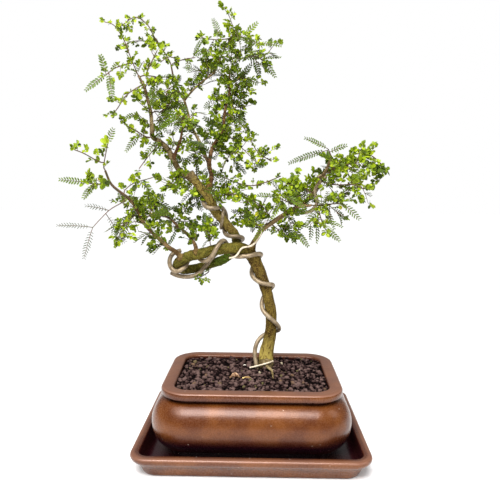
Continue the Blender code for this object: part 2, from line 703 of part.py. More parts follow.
def fan_leaf(leaf):
    """A small leaf: a stalk and three leaflets spread like a fan, cupped upwards."""
    hinge = leaf.stalk
    points = [(0.0, 0.0), (hinge, -1.4 * STALK_HALF_WIDTH)]
    for degrees, share in ((-66, 0.95), (-33, 0.4), (0, 1.0), (33, 0.4), (66, 0.95)):
        angle = math.radians(degrees)
        reach = leaf.size * share
        points.append((hinge + reach * math.cos(angle), reach * math.sin(angle)))
    points.append((hinge, 1.4 * STALK_HALF_WIDTH))
    triangles = [(0, 1, 7), (1, 2, 3), (1, 3, 7), (3, 4, 5), (3, 5, 7), (5, 6, 7)]

    def cup(x, y):
        return 0.045 * max(0.0, x - hinge) ** 2 + 0.05 * y * y

    return thick_blade(points, triangles, list(range(len(points))), leaf, cup)


def plume_leaf(leaf):
    """A long leaf: paired leaflets cut to the rib along one arched blade."""
    first = leaf.length * 0.14
    pitch = leaf.length * 0.84 / PLUME_PAIRS
    points = [(0.0, 0.0)]
    low_side = []
    high_side = []
    for sign, side in ((-1, low_side), (1, high_side)):
        for number in range(PLUME_PAIRS):
            root = first + number * pitch
            share = (number + 0.5) / PLUME_PAIRS
            reach = leaf.size * (0.62 + 0.38 * math.sin(math.pi * min(1.0, share * 1.1)))
            side.append(len(points))
            points.append((root, sign * STALK_HALF_WIDTH))
            side.append(len(points))
            points.append((root + pitch * 0.8, sign * reach))
        side.append(len(points))
        points.append((first + PLUME_PAIRS * pitch, sign * STALK_HALF_WIDTH))
    tip = len(points)
    points.append((leaf.length, 0.0))
    triangles = [(0, low_side[0], high_side[0]), (low_side[-1], tip, high_side[-1])]
    for number in range(PLUME_PAIRS):
        low = low_side[2 * number:2 * number + 3]
        high = high_side[2 * number:2 * number + 3]
        triangles.extend((low, (high[0], high[2], high[1])))
        triangles.extend(((low[0], low[2], high[2]), (low[0], high[2], high[0])))
    rim = [0, *low_side, tip, *reversed(high_side)]

    def arch(x, y):
        share = x / leaf.length
        return leaf.length * 0.16 * share * (1 - share) + 0.035 * y * y

    return thick_blade(points, triangles, rim, leaf, arch)


def make_tray(glaze):
    rings = [
        rounded_ring(TRAY_LENGTH / 2 - inset, TRAY_WIDTH / 2 - inset, corner, height)
        for inset, height, corner in TRAY_PROFILE
    ]
    add_object("tray", loft(rings), glaze)


def belly_point(degrees, thinner=0.0):
    """A point of the pot's swelling side: distance in from the lip's edge, and height."""
    angle = math.radians(degrees)
    inset = BELLY_INSET + thinner - BELLY_SWELL * math.cos(angle)
    return inset, BELLY_MIDDLE + (BELLY_RISE - thinner * 0.4) * math.sin(angle)


def pot_profile():
    bottom = TRAY_FLOOR + GAP
    outside = [
        (FOOT_INSET + FOOT_RING + 1.0, bottom + FOOT_RECESS), (FOOT_INSET + FOOT_RING, bottom),
        (FOOT_INSET + 0.6, bottom), (FOOT_INSET, bottom + 0.8), (FOOT_INSET, FOOT_TOP - 1.0),
    ]
    outside.extend(belly_point(degrees) for degrees in (-78, -62, -42, -21, 0, 21, 42, 60, 76))
    lip = [
        (6.6, LIP_UNDERSIDE - 1.2), (5.4, LIP_UNDERSIDE), (1.6, LIP_UNDERSIDE), (0.0, LIP_UNDERSIDE + 1.8),
        (0.0, LIP_TOP - 2.2), (0.7, LIP_TOP - 0.7), (2.4, LIP_TOP), (OPENING_INSET - 1.4, LIP_TOP),
        (OPENING_INSET, LIP_TOP - 1.6), (OPENING_INSET, SOIL_TOP - SOIL_EDGE),
    ]
    return outside, lip, cavity_profile()


def cavity_profile():
    return [belly_point(degrees, WALL) for degrees in (44, 0, -44)] + [(23.0, POT_FLOOR)]


def pot_ring(inset, height, along_x=0, along_y=0):
    corner = max(LIP_CORNER - inset, 9.0)
    return rounded_ring(LIP_LENGTH / 2 - inset, LIP_WIDTH / 2 - inset, corner, height, 4, along_x, along_y)


def make_pot(glaze):
    outside, lip, cavity = pot_profile()
    rings = [pot_ring(inset, height) for inset, height in outside + lip + cavity]
    pot = add_object("pot", loft(rings), glaze)
    drains = []
    for x in (-DRAIN_OFFSET, DRAIN_OFFSET):
        route = np.array(((x, 0, TRAY_FLOOR, DRAIN_RADIUS), (x, 0, POT_FLOOR + 5, DRAIN_RADIUS)))
        drains.append(tube(route, 12))
    combine(pot, drains, "DIFFERENCE", glaze)


def make_soil(earth, wood, wires):
    """The filling of the pot, with a rough top and plain holes for what stands in it."""
    chance = random.Random(SEED + 1)
    cavity = cavity_profile()
    cavity[-1] = (cavity[-1][0], POT_FLOOR + GAP)
    levels = [*reversed(cavity), (OPENING_INSET, SOIL_TOP - SOIL_EDGE), (OPENING_INSET, SOIL_TOP - 1.0)]
    rings = [pot_ring(inset + GAP, height, 4, 2) for inset, height in levels]
    top = rings[-1]
    for share in (0.88, 0.73, 0.58, 0.43, 0.28, 0.13):
        rings.append([
            (x * share + chance.uniform(-SOIL_STIR, SOIL_STIR) * share, y * share,
             SOIL_TOP - chance.uniform(0, SOIL_DIP))
            for x, y, _ in top
        ])
    soil = add_object("soil", loft(rings), earth, smooth=False)
    cutters = []
    for route, sides in ((wood["trunk"], 16), (wood["surface_root"], 8), (wires["trunk_wire"], 10)):
        hole = route[route[:, 2] < SOIL_TOP + 12].copy()
        hole[:, 3] = (hole[:, 3] + HOLE_CLEARANCE) / math.cos(math.pi / sides)
        hole[0, :3] += unit(hole[0, :3] - hole[1, :3]) * HOLE_CLEARANCE
        hole[-1, :3] += unit(hole[-1, :3] - hole[-2, :3]) * HOLE_CLEARANCE
        cutters.append(tube(hole, sides))
    for cutter in cutters:
        combine(soil, [cutter], "DIFFERENCE", earth)


def lay_flake(name, start, heading, outline, triangles, rise, surface):
    """Lay a thin flake on the soil, bent up in the middle."""
    angle = math.radians(heading)
    forward = np.array((math.cos(angle), math.sin(angle), 0.0))
    place = np.array((*start, SOIL_TOP + GAP + BLADE_THICKNESS / 2))
    lying = Leaf(name, place, forward, np.array((0.0, 0.0, 1.0)), 0.0, 0.0, 0.0)
    length = max(x for x, _ in outline)

    def bend(x, y):
        return rise * math.sin(math.pi * x / length)

    body = thick_blade(outline, triangles, list(range(len(outline))), lying, bend)
    add_object(name, body, surface, smooth=False)


def make_litter(husk, chip, grit):
    """What lies on the soil: a dry husk, a yellow chip and a piece of pale grit."""
    outline = [(0, 0), (2, -2.4), (5, -3.2), (8, -1.6), (10, 0), (8, 2.4), (5, 2.9), (2, 1.6)]
    triangles = [(0, 1, 7), (1, 2, 7), (2, 6, 7), (2, 3, 6), (3, 5, 6), (3, 4, 5)]
    lay_flake("husk", (-23.0, -14.0), 4, outline, triangles, 2.2, husk)
    outline = [(0, 0), (3, -1.2), (7, -1.2), (10, 0), (7, 1.1), (3, 0.9)]
    triangles = [(0, 1, 5), (1, 4, 5), (1, 2, 4), (2, 3, 4)]
    lay_flake("chip", (-11.0, -16.0), 16, outline, triangles, 1.0, chip)
    rows = []
    for height, radius in ((0.0, 1.0), (0.9, 1.7), (2.0, 1.4), (2.6, 0.6)):
        angles = [math.radians(60 * side + 14 * height) for side in range(6)]
        rows.append([
            (GRIT_PLACE[0] + radius * math.cos(angle), GRIT_PLACE[1] + radius * math.sin(angle),
             SOIL_TOP + GAP + height)
            for angle in angles
        ])
    add_object("grit", loft(rows), grit, smooth=False)


def make_trunk(bark, wood):
    trunk = add_object("trunk", tube(wood["trunk"], TRUNK_SIDES), bark)
    limbs = [tube(route, BRANCH_SIDES) for name, route in wood.items() if name != "trunk"]
    combine(trunk, limbs, "UNION", bark)


def make_sprays(foliage, twigs, leaves):
    for spray in SPRAYS:
        routes = twigs[spray.name]
        bodies = [tube(route, TWIG_SIDES) for route in routes]
        builders = {"fan": fan_leaf, "plume": plume_leaf}
        bodies.extend(builders[leaf.kind](leaf) for leaf in leaves[spray.name])
        body = add_object("spray_" + spray.name, bodies[0], foliage, smooth=False)
        combine(body, bodies[1:], "UNION", foliage)


def main():
    for thing in list(bpy.data.objects):
        bpy.data.objects.remove(thing, do_unlink=True)
    glaze = material("brown_glaze", (0.20, 0.085, 0.045), 0.28)
    earth = material("dark_soil", (0.035, 0.025, 0.028), 0.95)
    bark = material("olive_bark", (0.22, 0.17, 0.06), 0.8)
    wire_skin = material("taupe_wire", (0.42, 0.34, 0.24), 0.5, 0.3)
    foliage = material("green_leaf", (0.16, 0.30, 0.03), 0.55)
    husk = material("dry_husk", (0.45, 0.28, 0.10), 0.8)
    chip = material("yellow_chip", (0.60, 0.48, 0.16), 0.7)
    grit = material("pale_grit", (0.75, 0.72, 0.66), 0.7)

    steps = {name: TRUNK_STEP if name == "trunk" else BRANCH_STEP for name in WOOD}
    wood = {name: smooth_route(route, steps[name]) for name, route in WOOD.items()}
    fine_wood = {name: smooth_route(route, FINE_STEP) for name, route in WOOD.items()}
    wires = make_wires(fine_wood)
    fine_wires = [smooth_route(route, FINE_STEP) for route in wires.values()]
    solid = np.vstack(list(fine_wood.values()) + fine_wires)
    twigs = make_twigs(fine_wood, solid)
    leaves = lay_out_leaves(twigs, solid)

    make_tray(glaze)
    make_pot(glaze)
    make_soil(earth, wood, wires)
    make_litter(husk, chip, grit)
    make_trunk(bark, wood)
    for name, route in wires.items():
        add_object(name, tube(route, WIRE_SIDES), wire_skin)
    make_sprays(foliage, twigs, leaves)


main()
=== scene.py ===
"""Finished look of the wired acacia bonsai in its brown glazed pot on a drip tray.

Lengths are millimetres, and MM turns them into metres where a mesh is made. The wood, wires,
twigs and leaves follow the same routes as the solids, so each piece lies where its solid is.
"""

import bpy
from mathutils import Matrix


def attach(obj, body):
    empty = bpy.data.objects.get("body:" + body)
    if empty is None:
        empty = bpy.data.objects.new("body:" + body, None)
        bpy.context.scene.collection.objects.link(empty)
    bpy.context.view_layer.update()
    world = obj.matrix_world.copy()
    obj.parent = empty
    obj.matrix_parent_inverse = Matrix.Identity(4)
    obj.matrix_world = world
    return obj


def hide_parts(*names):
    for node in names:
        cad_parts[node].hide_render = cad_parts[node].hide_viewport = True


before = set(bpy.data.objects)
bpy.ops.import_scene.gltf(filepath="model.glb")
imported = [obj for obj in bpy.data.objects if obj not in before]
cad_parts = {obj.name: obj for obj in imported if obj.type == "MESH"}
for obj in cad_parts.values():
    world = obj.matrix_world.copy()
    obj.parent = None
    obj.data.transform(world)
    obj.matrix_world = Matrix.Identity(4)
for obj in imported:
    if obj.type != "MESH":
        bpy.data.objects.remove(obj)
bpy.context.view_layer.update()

import math
import random
from collections import namedtuple

import bmesh
import bpy
import numpy as np
from mathutils import Matrix, Vector, kdtree, noise

MM = 0.001
GAP = 0.3
SEED = 41

# Drip tray
TRAY_LENGTH = 241.0
TRAY_WIDTH = 193.5
TRAY_FLOOR = 4.0

# Pot
LIP_LENGTH = 190.0
LIP_WIDTH = 142.5
LIP_CORNER = 30.0
LIP_TOP = 78.5
LIP_UNDERSIDE = 70.4
OPENING_INSET = 14.3
FOOT_INSET = 12.0
FOOT_TOP = 14.0
FOOT_RING = 7.0
FOOT_RECESS = 3.0
BELLY_INSET = 11.0
BELLY_SWELL = 21.0
BELLY_MIDDLE = 41.0
BELLY_RISE = 27.0
WALL = 8.0
POT_FLOOR = 13.3

# Soil
SOIL_TOP = 75.0
SOIL_EDGE = 5.0
GRIT_PLACE = (-9.0, 25.0)
WIRE_CLEARANCE = 0.45

# Wire thicknesses, as radii
THICK_WIRE = 2.5
BRANCH_WIRE = 1.8
THIN_WIRE = 1.1
WINDING_DEGREES = 34
WINDING_LENGTH = 12
SETTLING_ROUNDS = 12

# Leaves
TWIG_RADIUS = 0.95
TWIG_TIP_RADIUS = 0.7
TWIG_GAP = 0.35
STALK_HALF_WIDTH = 0.45
FAN_SIZES = (4.6, 6.2)
FAN_STALKS = (4.0, 8.0)
PLUME_HALF_WIDTH = 4.4
LEAF_MARGIN = 0.7
SIDE_TWIG_SHARE = 0.85
TWIG_STEP = 3
# A twig first leaves its branch by its lead, and skips given points nearer than its skip
TWIG_LEAD = 2.5
TWIG_SKIP = 5
# Its first stretch isn't pushed off the wood, and every fifth point of the rest is kept
TWIG_FIXED = 2
TWIG_KEEP = 5
# A twig goes on from a branch's end if its direction and the branch's have this cosine or more
ONWARD_COSINE = 0.6
LEAF_TRIES = 14
# Each new try at a long plume is a little shorter, and goes a little more astray
PLUME_SHORTENING = 0.02
PLUME_STRAYING = 1.1
PLUME_FACE_SPREAD = 0.35
# A fan is held by two spheres: one round its leaflets, with a place and a reach that are shares of
# its size, and one on its stalk
FAN_MIDDLE = 0.45
FAN_REACH = 0.8
STALK_MIDDLE = 0.6
# A plume is held by spheres: the place of each along it, and its share of the plume's half width
PLUME_SPHERES = ((0.18, 0.95), (0.36, 0.95), (0.54, 0.95), (0.72, 0.95), (0.9, 0.75))
PLUME_FACE = (0.1, -0.9, 0.45)
# Leaves turn up towards the light and the front
LEAF_FACE = (0.0, -0.7, 0.7)
LEAF_FACE_SPREAD = 0.8

# Routes of the woody parts as listed points, each x, y, z and the wood's radius there
WOOD = {
    "trunk": (
        (15.5, 28, 46, 8.9), (15.5, 28, 75, 8.9), (16.5, 28, 92, 8.1), (20, 27, 112, 7.0),
        (21, 25, 131, 6.3), (18, 24, 155, 6.2), (12, 24, 175, 6.4), (4, 23, 195, 6.8),
        (-4, 20, 209, 7.0), (-13, 16, 215, 6.7), (-24, 12, 216, 6.3), (-40, 9, 215, 6.1),
        (-55, 7, 211, 6.0), (-69, 6, 208, 5.9), (-80, 8, 203, 5.8), (-86, 14, 196, 5.6),
        (-81, 22, 190, 5.3), (-69, 28, 190, 5.2), (-53, 33, 194, 5.1), (-38, 36, 199, 5.0),
        (-27, 38, 206, 5.0), (-21, 38, 216, 5.0), (-22, 36, 229, 5.1), (-29, 33, 238, 5.2),
        (-37, 30, 248, 5.4), (-44, 28, 256, 5.4), (-49, 25, 266, 5.2), (-53, 22, 275, 5.0),
        (-61, 19, 284, 4.6), (-67, 17, 293, 4.0), (-71, 15, 301, 3.0),
    ),
    "surface_root": (
        (15, 26, 79, 3.0), (16.5, 19.5, 78, 2.0), (18.5, 13.5, 77.7, 1.8), (22, 5, 77.5, 1.5),
        (22.5, -3, 77.2, 1.4), (23, -9, 75.8, 1.2), (23.5, -12.5, 71, 1.0),
    ),
    "right": (
        (-3, 20, 213, 5.0), (0, 18, 222, 3.3), (4, 14, 229, 3.0), (9, 10, 237, 2.8),
        (20, 2, 246, 2.7), (34, -6, 256, 2.6), (47, -12, 264, 2.6), (58, -17, 273, 2.5),
        (66, -20, 284, 2.3), (69, -22, 293, 2.0), (74, -24, 302, 1.7), (79, -26, 315, 1.3),
    ),
    "right_low": ((47, -12, 264, 2.3), (54, -18, 265, 1.9), (60, -24, 266, 1.5)),
    "low_left": (
        (-79, 8, 204, 4.2), (-85, 4, 211, 3.2), (-91, 0, 216, 2.8), (-100, -6, 225, 2.5),
        (-110, -13, 236, 2.3), (-118, -20, 248, 2.1), (-123, -26, 261, 1.9), (-129, -31, 271, 1.7),
        (-136, -35, 277, 1.5), (-145, -39, 286, 1.3), (-150, -41, 299, 1.1),
    ),
    "mid_left": (
        (-64, 6, 210, 3.8), (-65, 12, 217, 2.6), (-69, 18, 223, 2.3), (-77, 25, 231, 2.1),
        (-87, 33, 238, 1.9), (-101, 42, 248, 1.6), (-115, 48, 251, 1.2),
    ),
    "upper_left": (
        (-65, 17, 289, 4.2), (-73, 18, 294, 3.4), (-83, 14, 302, 3.2), (-89, 8, 313, 3.1),
        (-94, 3, 324, 2.9), (-101, -3, 331, 2.7), (-108, -8, 336, 2.5), (-108, -13, 347, 2.2),
        (-108, -18, 360, 2.0), (-110, -24, 373, 1.8), (-112, -29, 383, 1.6), (-117, -33, 394, 1.3),
    ),
    "leader": (
        (-53, 22, 278, 4.2), (-50, 27, 290, 3.1), (-49, 30, 299, 2.8), (-52, 32, 308, 2.6),
        (-51, 34, 318, 2.4), (-48, 34, 329, 2.1), (-42, 33, 339, 1.9), (-36, 32, 347, 1.8),
        (-35, 30, 361, 1.7), (-33, 28, 373, 1.6), (-29, 26, 386, 1.5), (-29, 23, 401, 1.3),
        (-28, 21, 411, 1.1),
    ),
    "back_rise": (
        (-51, 33, 308, 2.4), (-57, 40, 320, 2.1), (-64, 48, 335, 1.9), (-75, 58, 355, 1.7),
        (-81, 65, 374, 1.6), (-86, 70, 388, 1.5), (-93, 72, 399, 1.4), (-98, 73, 412, 1.2),
        (-101, 72, 427, 1.0),
    ),
    "crown": (
        (-85, 70, 387, 1.6), (-74, 62, 397, 1.3), (-60, 54, 407, 1.2), (-48, 47, 414, 1.2),
        (-42, 41, 425, 1.1), (-35, 34, 438, 0.9),
    ),
    "dark_stub": (
        (-89, 8, 314, 2.1), (-84, 0, 323, 1.8), (-79, -8, 332, 1.5), (-76, -14, 342, 1.2),
    ),
}
FINE_STEP = 1.5

# A wire wound on the trunk: distance along the trunk, angle round it and height off the bark.
# Seen along the growing trunk, 90 degrees is the front and 270 the back.
TRUNK_WIRE_TURNS = (
    (14, 132, 0.5), (30, 142, 0.6), (39, 162, 1.8), (47, 180, 3.1), (55, 192, 2.6),
    (61, 215, 1.2), (67, 270, 0.0),
    (72, 335, 0.0), (77, 370, 0.0), (90, 450, 0.0), (103, 540, 0.0), (112, 585, 0.0),
    (118, 630, 0.0), (125, 720, 0.0), (131, 810, 0.0), (145, 900, 0.0), (155, 990, 0.0),
    (162, 1080, 0.0), (171, 1175, 0.0), (187, 1250, 0.0), (195, 1350, 0.0), (202, 1440, 0.0),
    (212, 1530, 0.0), (226, 1620, 0.0), (233, 1690, 0.0),
)
UPPER_WIRE_TURNS = (
    (349, 290, 0.0), (353, 350, 0.0), (360, 450, 0.0), (368, 540, 0.0), (375, 630, 0.0),
    (386, 690, 0.0), (396, 720, 0.0), (402, 810, 0.0), (409, 900, 0.0), (415, 990, 0.0),
)
CROSS_WIRE_TURNS = ((373, 215, 0.3), (376, 170, 0.3), (384, 90, 0.0), (391, 25, 0.0))

# Wires that leave the bark, as points listed along each wire
LOOP_WIRE = (
    (-72, 20, 204), (-76, 14, 199), (-79, 7, 194), (-83, 5, 190), (-89, 7, 190), (-94, 9, 196),
    (-94, 9, 204), (-90, 13, 210), (-83, 18, 212),
)
HOOK_WIRE = (
    (-93, 15, 187), (-89, 18, 184), (-81, 19, 182), (-73, 19, 182), (-66, 21, 183), (-60, 23, 188),
    (-55, 24, 194), (-49, 27, 202), (-43, 31, 208),
)
BRANCH_WIRE_ROUTE = (
    (64, -14, 291), (69, -17, 297), (74, -22, 296), (71, -27, 293), (65, -26, 287), (63, -24, 279),
    (66, -22, 271), (65, -20, 265), (59, -17, 259), (50, -13, 257),
)
PALE_WIRE = (
    (9, 3, 242), (8, 3, 233), (4, 7, 226), (-1, 9, 220), (-7, 8, 218), (-13, 7.5, 218),
    (-16, 6.5, 213), (-20, 4, 207), (-27, 5, 206),
)
BASE_WIRE = (
    (-3.4, 16, 76.8), (3, 16.5, 78), (9, 17, 79.7), (15, 17.5, 81.2), (20, 18, 82.7),
    (24, 20, 83.8),
)
# Every wire in the order it goes on: its name, its radius, its points, and how finely they are
# followed or 0 where they are turns round the trunk
WIRES = (
    ("trunk_wire", THICK_WIRE, TRUNK_WIRE_TURNS, 0),
    ("upper_wire", THICK_WIRE, UPPER_WIRE_TURNS, 0),
    ("cross_wire", BRANCH_WIRE, CROSS_WIRE_TURNS, 0),
    ("loop_wire", THICK_WIRE, LOOP_WIRE, 4),
    ("hook_wire", THICK_WIRE, HOOK_WIRE, 5),
    ("branch_wire", BRANCH_WIRE, BRANCH_WIRE_ROUTE, 4),
    ("pale_wire", THIN_WIRE, PALE_WIRE, 4),
    ("base_wire", THIN_WIRE, BASE_WIRE, 3),
)

# How a shoot is leaved: its leaf spacing, its side shoot spacing or 0 for none, its share of
# feathery leaves, the size of the others, and how much its side shoots turn upwards
Habit = namedtuple("Habit", "pitch shoots feathery scale rise", defaults=(0.12, 1.0, 0.35))
DROOPING = -0.15

# A leafy spray: its name, its number of first small leaves, its habit, its twigs, and its long
# plumes. The first twig starts beside its branch, and others start on it. A plume is the number of
# its twig, its place along it from 0 to 1, and its tip.
Spray = namedtuple("Spray", "name leaves habit twigs plumes", defaults=((),))
SPRAYS = (
    Spray("top_left", 6, Habit(4.2, 0, 0, 0.72), (
        ((-119, -35, 398), (-122, -38, 407), (-126, -41, 418), (-131, -44, 431), (-137, -46, 438),
         (-146, -47, 441)),
        ((-121, -38, 405), (-130, -46, 401), (-137, -54, 395), (-142, -59, 389)),
    ), ((1, 1.0, (-148, -56, 407)), (1, 1.0, (-159, -66, 373)), (1, 0.9, (-135, -64, 366)))),
    Spray("left_edge", 4, Habit(9.0, 0, 0.05), (
        ((-114, -32, 384), (-120, -36, 381), (-127, -42, 373), (-133, -47, 362), (-139, -50, 353)),
    )),
    Spray("left_high", 4, Habit(7.0, 14.0), (
        ((-113, -34, 393), (-107, -26, 396), (-100, -16, 395), (-95, -8, 392)),
        ((-109, -29, 395), (-107, -30, 404), (-104, -30, 413), (-99, -28, 419)),
    )),
    Spray("left_elbow", 3, Habit(9.0, 0, 0.05), (
        ((-112, -12, 334), (-119, -20, 338), (-126, -28, 343), (-132, -34, 346)),
    )),
    Spray("left_back", 3, Habit(4.5, 8.0, 0.3), (
        ((-105, -10, 362), (-102, 0, 362), (-98, 10, 368), (-95, 20, 378)),
    ), ((0, 0.7, (-103, 16, 349)),)),
    Spray("left_shoulder", 4, Habit(9.0, 0, 0.05), (
        ((-104, -6, 327), (-110, -16, 318), (-112, -24, 308), (-118, -30, 302)),
    )),
    Spray("arch", 7, Habit(4.0, 0, 0, 0.75), (
        ((-105, 72, 438), (-111, 70, 446), (-120, 66, 459), (-125, 63, 468), (-129, 60, 473),
         (-137, 58, 477), (-146, 56, 478), (-152, 55, 474), (-157, 54, 466)),
        ((-115, 68, 452), (-127, 72, 454), (-140, 76, 457), (-153, 79, 455), (-164, 82, 450)),
    )),
    Spray("arch_right", 4, Habit(9.0, 0), (
        ((-97, 66, 429), (-87, 58, 431), (-78, 50, 428), (-69, 44, 430)),
        ((-91, 62, 430), (-96, 50, 432), (-101, 38, 428), (-106, 28, 421)),
    )),
    Spray("arch_low", 2, Habit(6.0, 12.0, 0.3), (
        ((-97, 64, 403), (-102, 54, 396), (-104, 46, 385)),
    ), ((0, 1.0, (-100, 40, 360)), (0, 0.6, (-120, 52, 379)))),
    Spray("crown_top", 6, Habit(4.2, 0, 0.06), (
        ((-32, 32, 442), (-28, 29, 449), (-25, 27, 453), (-26, 24, 461), (-30, 21, 469),
         (-33, 19, 473)),
        ((-27, 28, 451), (-15, 16, 445), (-4, 6, 439), (3, 0, 434)),
        ((-28, 29, 448), (-41, 42, 449), (-52, 50, 452), (-63, 56, 455)),
    ), ((1, 1.0, (26, -10, 429)), (1, 0.45, (1, 8, 457)), (2, 0.35, (-49, 48, 473)))),
    Spray("crown_right", 3, Habit(3.4, 5.2, 0.6), (
        ((-25, 16, 416), (-20, 12, 419), (-10, 4, 421), (0, -4, 420), (7, -10, 415)),
    ), ((0, 0.95, (25, -16, 416)), (0, 1.0, (20, -16, 397)))),
    Spray("crown_left", 4, Habit(4.8, 11.0, 0.1, 0.8), (
        ((-54, 56, 418), (-62, 62, 418), (-70, 67, 421)),
        ((-57, 58, 418), (-57, 63, 428), (-61, 68, 439)),
    ), ((0, 1.0, (-86, 76, 426)), (0, 0.7, (-71, 64, 402)))),
    Spray("leader_right", 2, Habit(2.9, 4.4, 0.35), (
        ((-24, 18, 400), (-16, 12, 402), (-9, 6, 400)),
    ), ((0, 1.0, (2, 0, 393)), (0, 0.6, (-6, 6, 413)))),
    Spray("leader_left", 1, Habit(4.2, 8.0, 0.3), (
        ((-34, 32, 380), (-41, 38, 380), (-49, 44, 383)),
    ), ((0, 1.0, (-59, 54, 376)), (0, 0.7, (-48, 46, 399)))),
    Spray("leader_front", 1, Habit(3.6, 6.0, 0.3), (
        ((-27, 22, 374), (-21, 16, 371), (-18, 12, 366)),
    ), ((0, 0.6, (-9, 8, 385)), (0, 1.0, (-16, 4, 349)))),
    Spray("shoot_high", 5, Habit(7.0, 0, 0.12, 0.8), (
        ((-29, 24, 364), (-19, 17, 356), (-9, 11, 344), (0, 6, 327), (8, 2, 317), (18, 0, 312)),
    )),
    Spray("shoot_low", 3, Habit(5.0, 14.0), (
        ((-31, 24, 343), (-19, 16, 331), (-10, 10, 323), (3, 5, 310)),
    )),
    Spray("middle_back", 4, Habit(6.0, 11.0, 0.3), (
        ((-44, 39, 327), (-37, 48, 325), (-28, 57, 321), (-19, 64, 317)),
        ((-39, 46, 326), (-39, 60, 337), (-44, 70, 352)),
    )),
    Spray("middle_left", 3, Habit(4.0, 6.5, 0.45), (
        ((-55, 28, 317), (-61, 20, 319), (-68, 12, 323)),
    )),
    Spray("dark_tip", 1, Habit(4.4, 8.0, 0.4), (
        ((-75, -18, 347), (-73, -22, 355)),
    ), ((0, 1.0, (-57, -28, 341)), (0, 0.6, (-97, -26, 346)))),
    Spray("middle_right", 7, Habit(10.0, 0, 0.12, 0.75), (
        ((-44, 25, 298), (-35, 17, 295), (-22, 9, 290), (-8, 2, 286), (6, -4, 287), (19, -9, 293),
         (28, -12, 296)),
        ((-39, 20, 296), (-34, 12, 306), (-30, 5, 315), (-23, -2, 321), (-17, -8, 319)),
    )),
    Spray("right_low_end", 4, Habit(4.2, 9.0, 0.4), (
        ((63, -28, 266), (70, -34, 266), (80, -42, 269), (88, -48, 269)),
        ((66, -30, 266), (67, -36, 257), (69, -42, 250), (72, -46, 243)),
    ), ((0, 1.0, (104, -54, 254)), (1, 1.0, (85, -52, 232)))),
    Spray("right_tip", 1, Habit(0, 0, 0, 1.15, DROOPING), (
        ((78, -28, 319), (75, -31, 323)),
    ), ((0, 1.0, (51, -36, 333)), (0, 0.9, (36, -22, 309)), (0, 0.6, (92, -36, 326)))),
    Spray("right_mass", 7, Habit(5.2, 9.5, 0.02, 1.1, DROOPING), (
        ((76, -28, 299), (84, -34, 304), (94, -40, 308), (104, -46, 309)),
        ((78, -30, 301), (87, -18, 310), (100, -8, 318), (114, 0, 321), (127, 6, 319),
         (136, 10, 313), (144, 12, 305)),
    )),
    Spray("right_front", 4, Habit(4.8, 8.5, 0.06, 1.0, DROOPING), (
        ((73, -26, 289), (83, -34, 287), (96, -42, 288), (109, -50, 283)),
    )),
    Spray("right_back", 3, Habit(5.5, 12.0), (
        ((57, -10, 281), (53, 0, 286), (46, 12, 289), (36, 22, 290)),
    ), ((0, 0.8, (39, 20, 275)),)),
    Spray("right_under", 3, Habit(3.2, 5.6, 0.3), (
        ((41, -16, 267), (33, -24, 270), (23, -33, 274)),
    )),
    Spray("right_drop", 1, Habit(3.0, 5.0, 0.4, 1.0, DROOPING), (
        ((37, -10, 251), (40, -16, 243)),
    ), ((0, 1.0, (57, -22, 223)),)),
    Spray("right_base", 1, Habit(2.8, 4.4, 0.12, 1.0, DROOPING), (
        ((23, 9, 241), (29, 16, 235)),
    ), ((0, 1.0, (46, 26, 228)),)),
    Spray("inner_back", 4, Habit(3.0, 4.8, 0.3), (
        ((5, 18, 241), (-4, 30, 247), (-13, 42, 254)),
    )),
    Spray("inner_front", 3, Habit(3.2, 5.0, 0.3, 1.0, DROOPING), (
        ((17, -4, 253), (11, -13, 262), (1, -22, 269)),
    )),
    Spray("far_left", 3, Habit(10.0, 0, 0.04), (
        ((-151, -42, 303), (-151, -44, 312), (-149, -46, 320), (-145, -47, 326)),
        ((-151, -43, 307), (-158, -48, 309), (-167, -53, 315), (-177, -56, 319)),
    ), ((0, 1.0, (-139, -49, 339)),)),
    Spray("left_cluster", 2, Habit(4.2, 7.5, 0.12, 1.0, DROOPING), (
        ((-149, -44, 284), (-155, -51, 285), (-162, -57, 286)),
    ), ((0, 1.0, (-186, -68, 289)), (0, 0.7, (-166, -60, 272)))),
    Spray("left_plumes", 0, Habit(0, 0), (
        ((-133, -38, 268), (-142, -46, 262), (-150, -54, 253), (-158, -60, 243)),
    ), ((0, 1.0, (-189, -70, 245)), (0, 1.0, (-166, -64, 213)), (0, 0.5, (-164, -60, 264)),
        (0, 0.6, (-138, -48, 232)))),
    Spray("left_inner", 3, Habit(10.0, 0), (
        ((-132, -28, 282), (-126, -20, 287), (-118, -13, 290), (-110, -7, 293)),
    ), ((0, 0.6, (-108, -18, 279)),)),
    Spray("left_under", 3, Habit(3.6, 6.0, 0.3, 1.0, DROOPING), (
        ((-123, -34, 253), (-127, -43, 248), (-132, -51, 244)),
    )),
    Spray("left_behind", 3, Habit(4.5, 7.5, 0.25), (
        ((-113, -12, 252), (-110, -1, 261), (-107, 9, 270)),
    )),
    Spray("mid_left_tip", 3, Habit(3.8, 6.0), (
        ((-122, 52, 255), (-132, 59, 261), (-143, 66, 264)),
    )),
    Spray("mid_left_back", 3, Habit(5.0, 9.0), (
        ((-87, 42, 245), (-84, 53, 254), (-80, 64, 264)),
    )),
    Spray("front_tuft", 3, Habit(3.2, 5.5), (
        ((-49, 3, 227), (-51, -2, 234), (-47, -7, 241)),
    )),
    Spray("hanging", 2, Habit(5.5, 0, 0, 0.8), (
        ((-51, 29, 186), (-57, 25, 183), (-65, 20, 180)),
    )),
    Spray("stub_left", 3, Habit(3.0, 4.8), (
        ((-78, 8, 293), (-85, -2, 288), (-91, -11, 283)),
    )),
    Spray("trunk_back", 4, Habit(3.0, 4.8, 0.25), (
        ((-57, 32, 279), (-66, 44, 280), (-77, 56, 277)),
    )),
    Spray("trunk_front", 3, Habit(3.2, 5.2), (
        ((-41, 16, 272), (-30, 6, 276), (-19, -4, 276)),
    )),
)

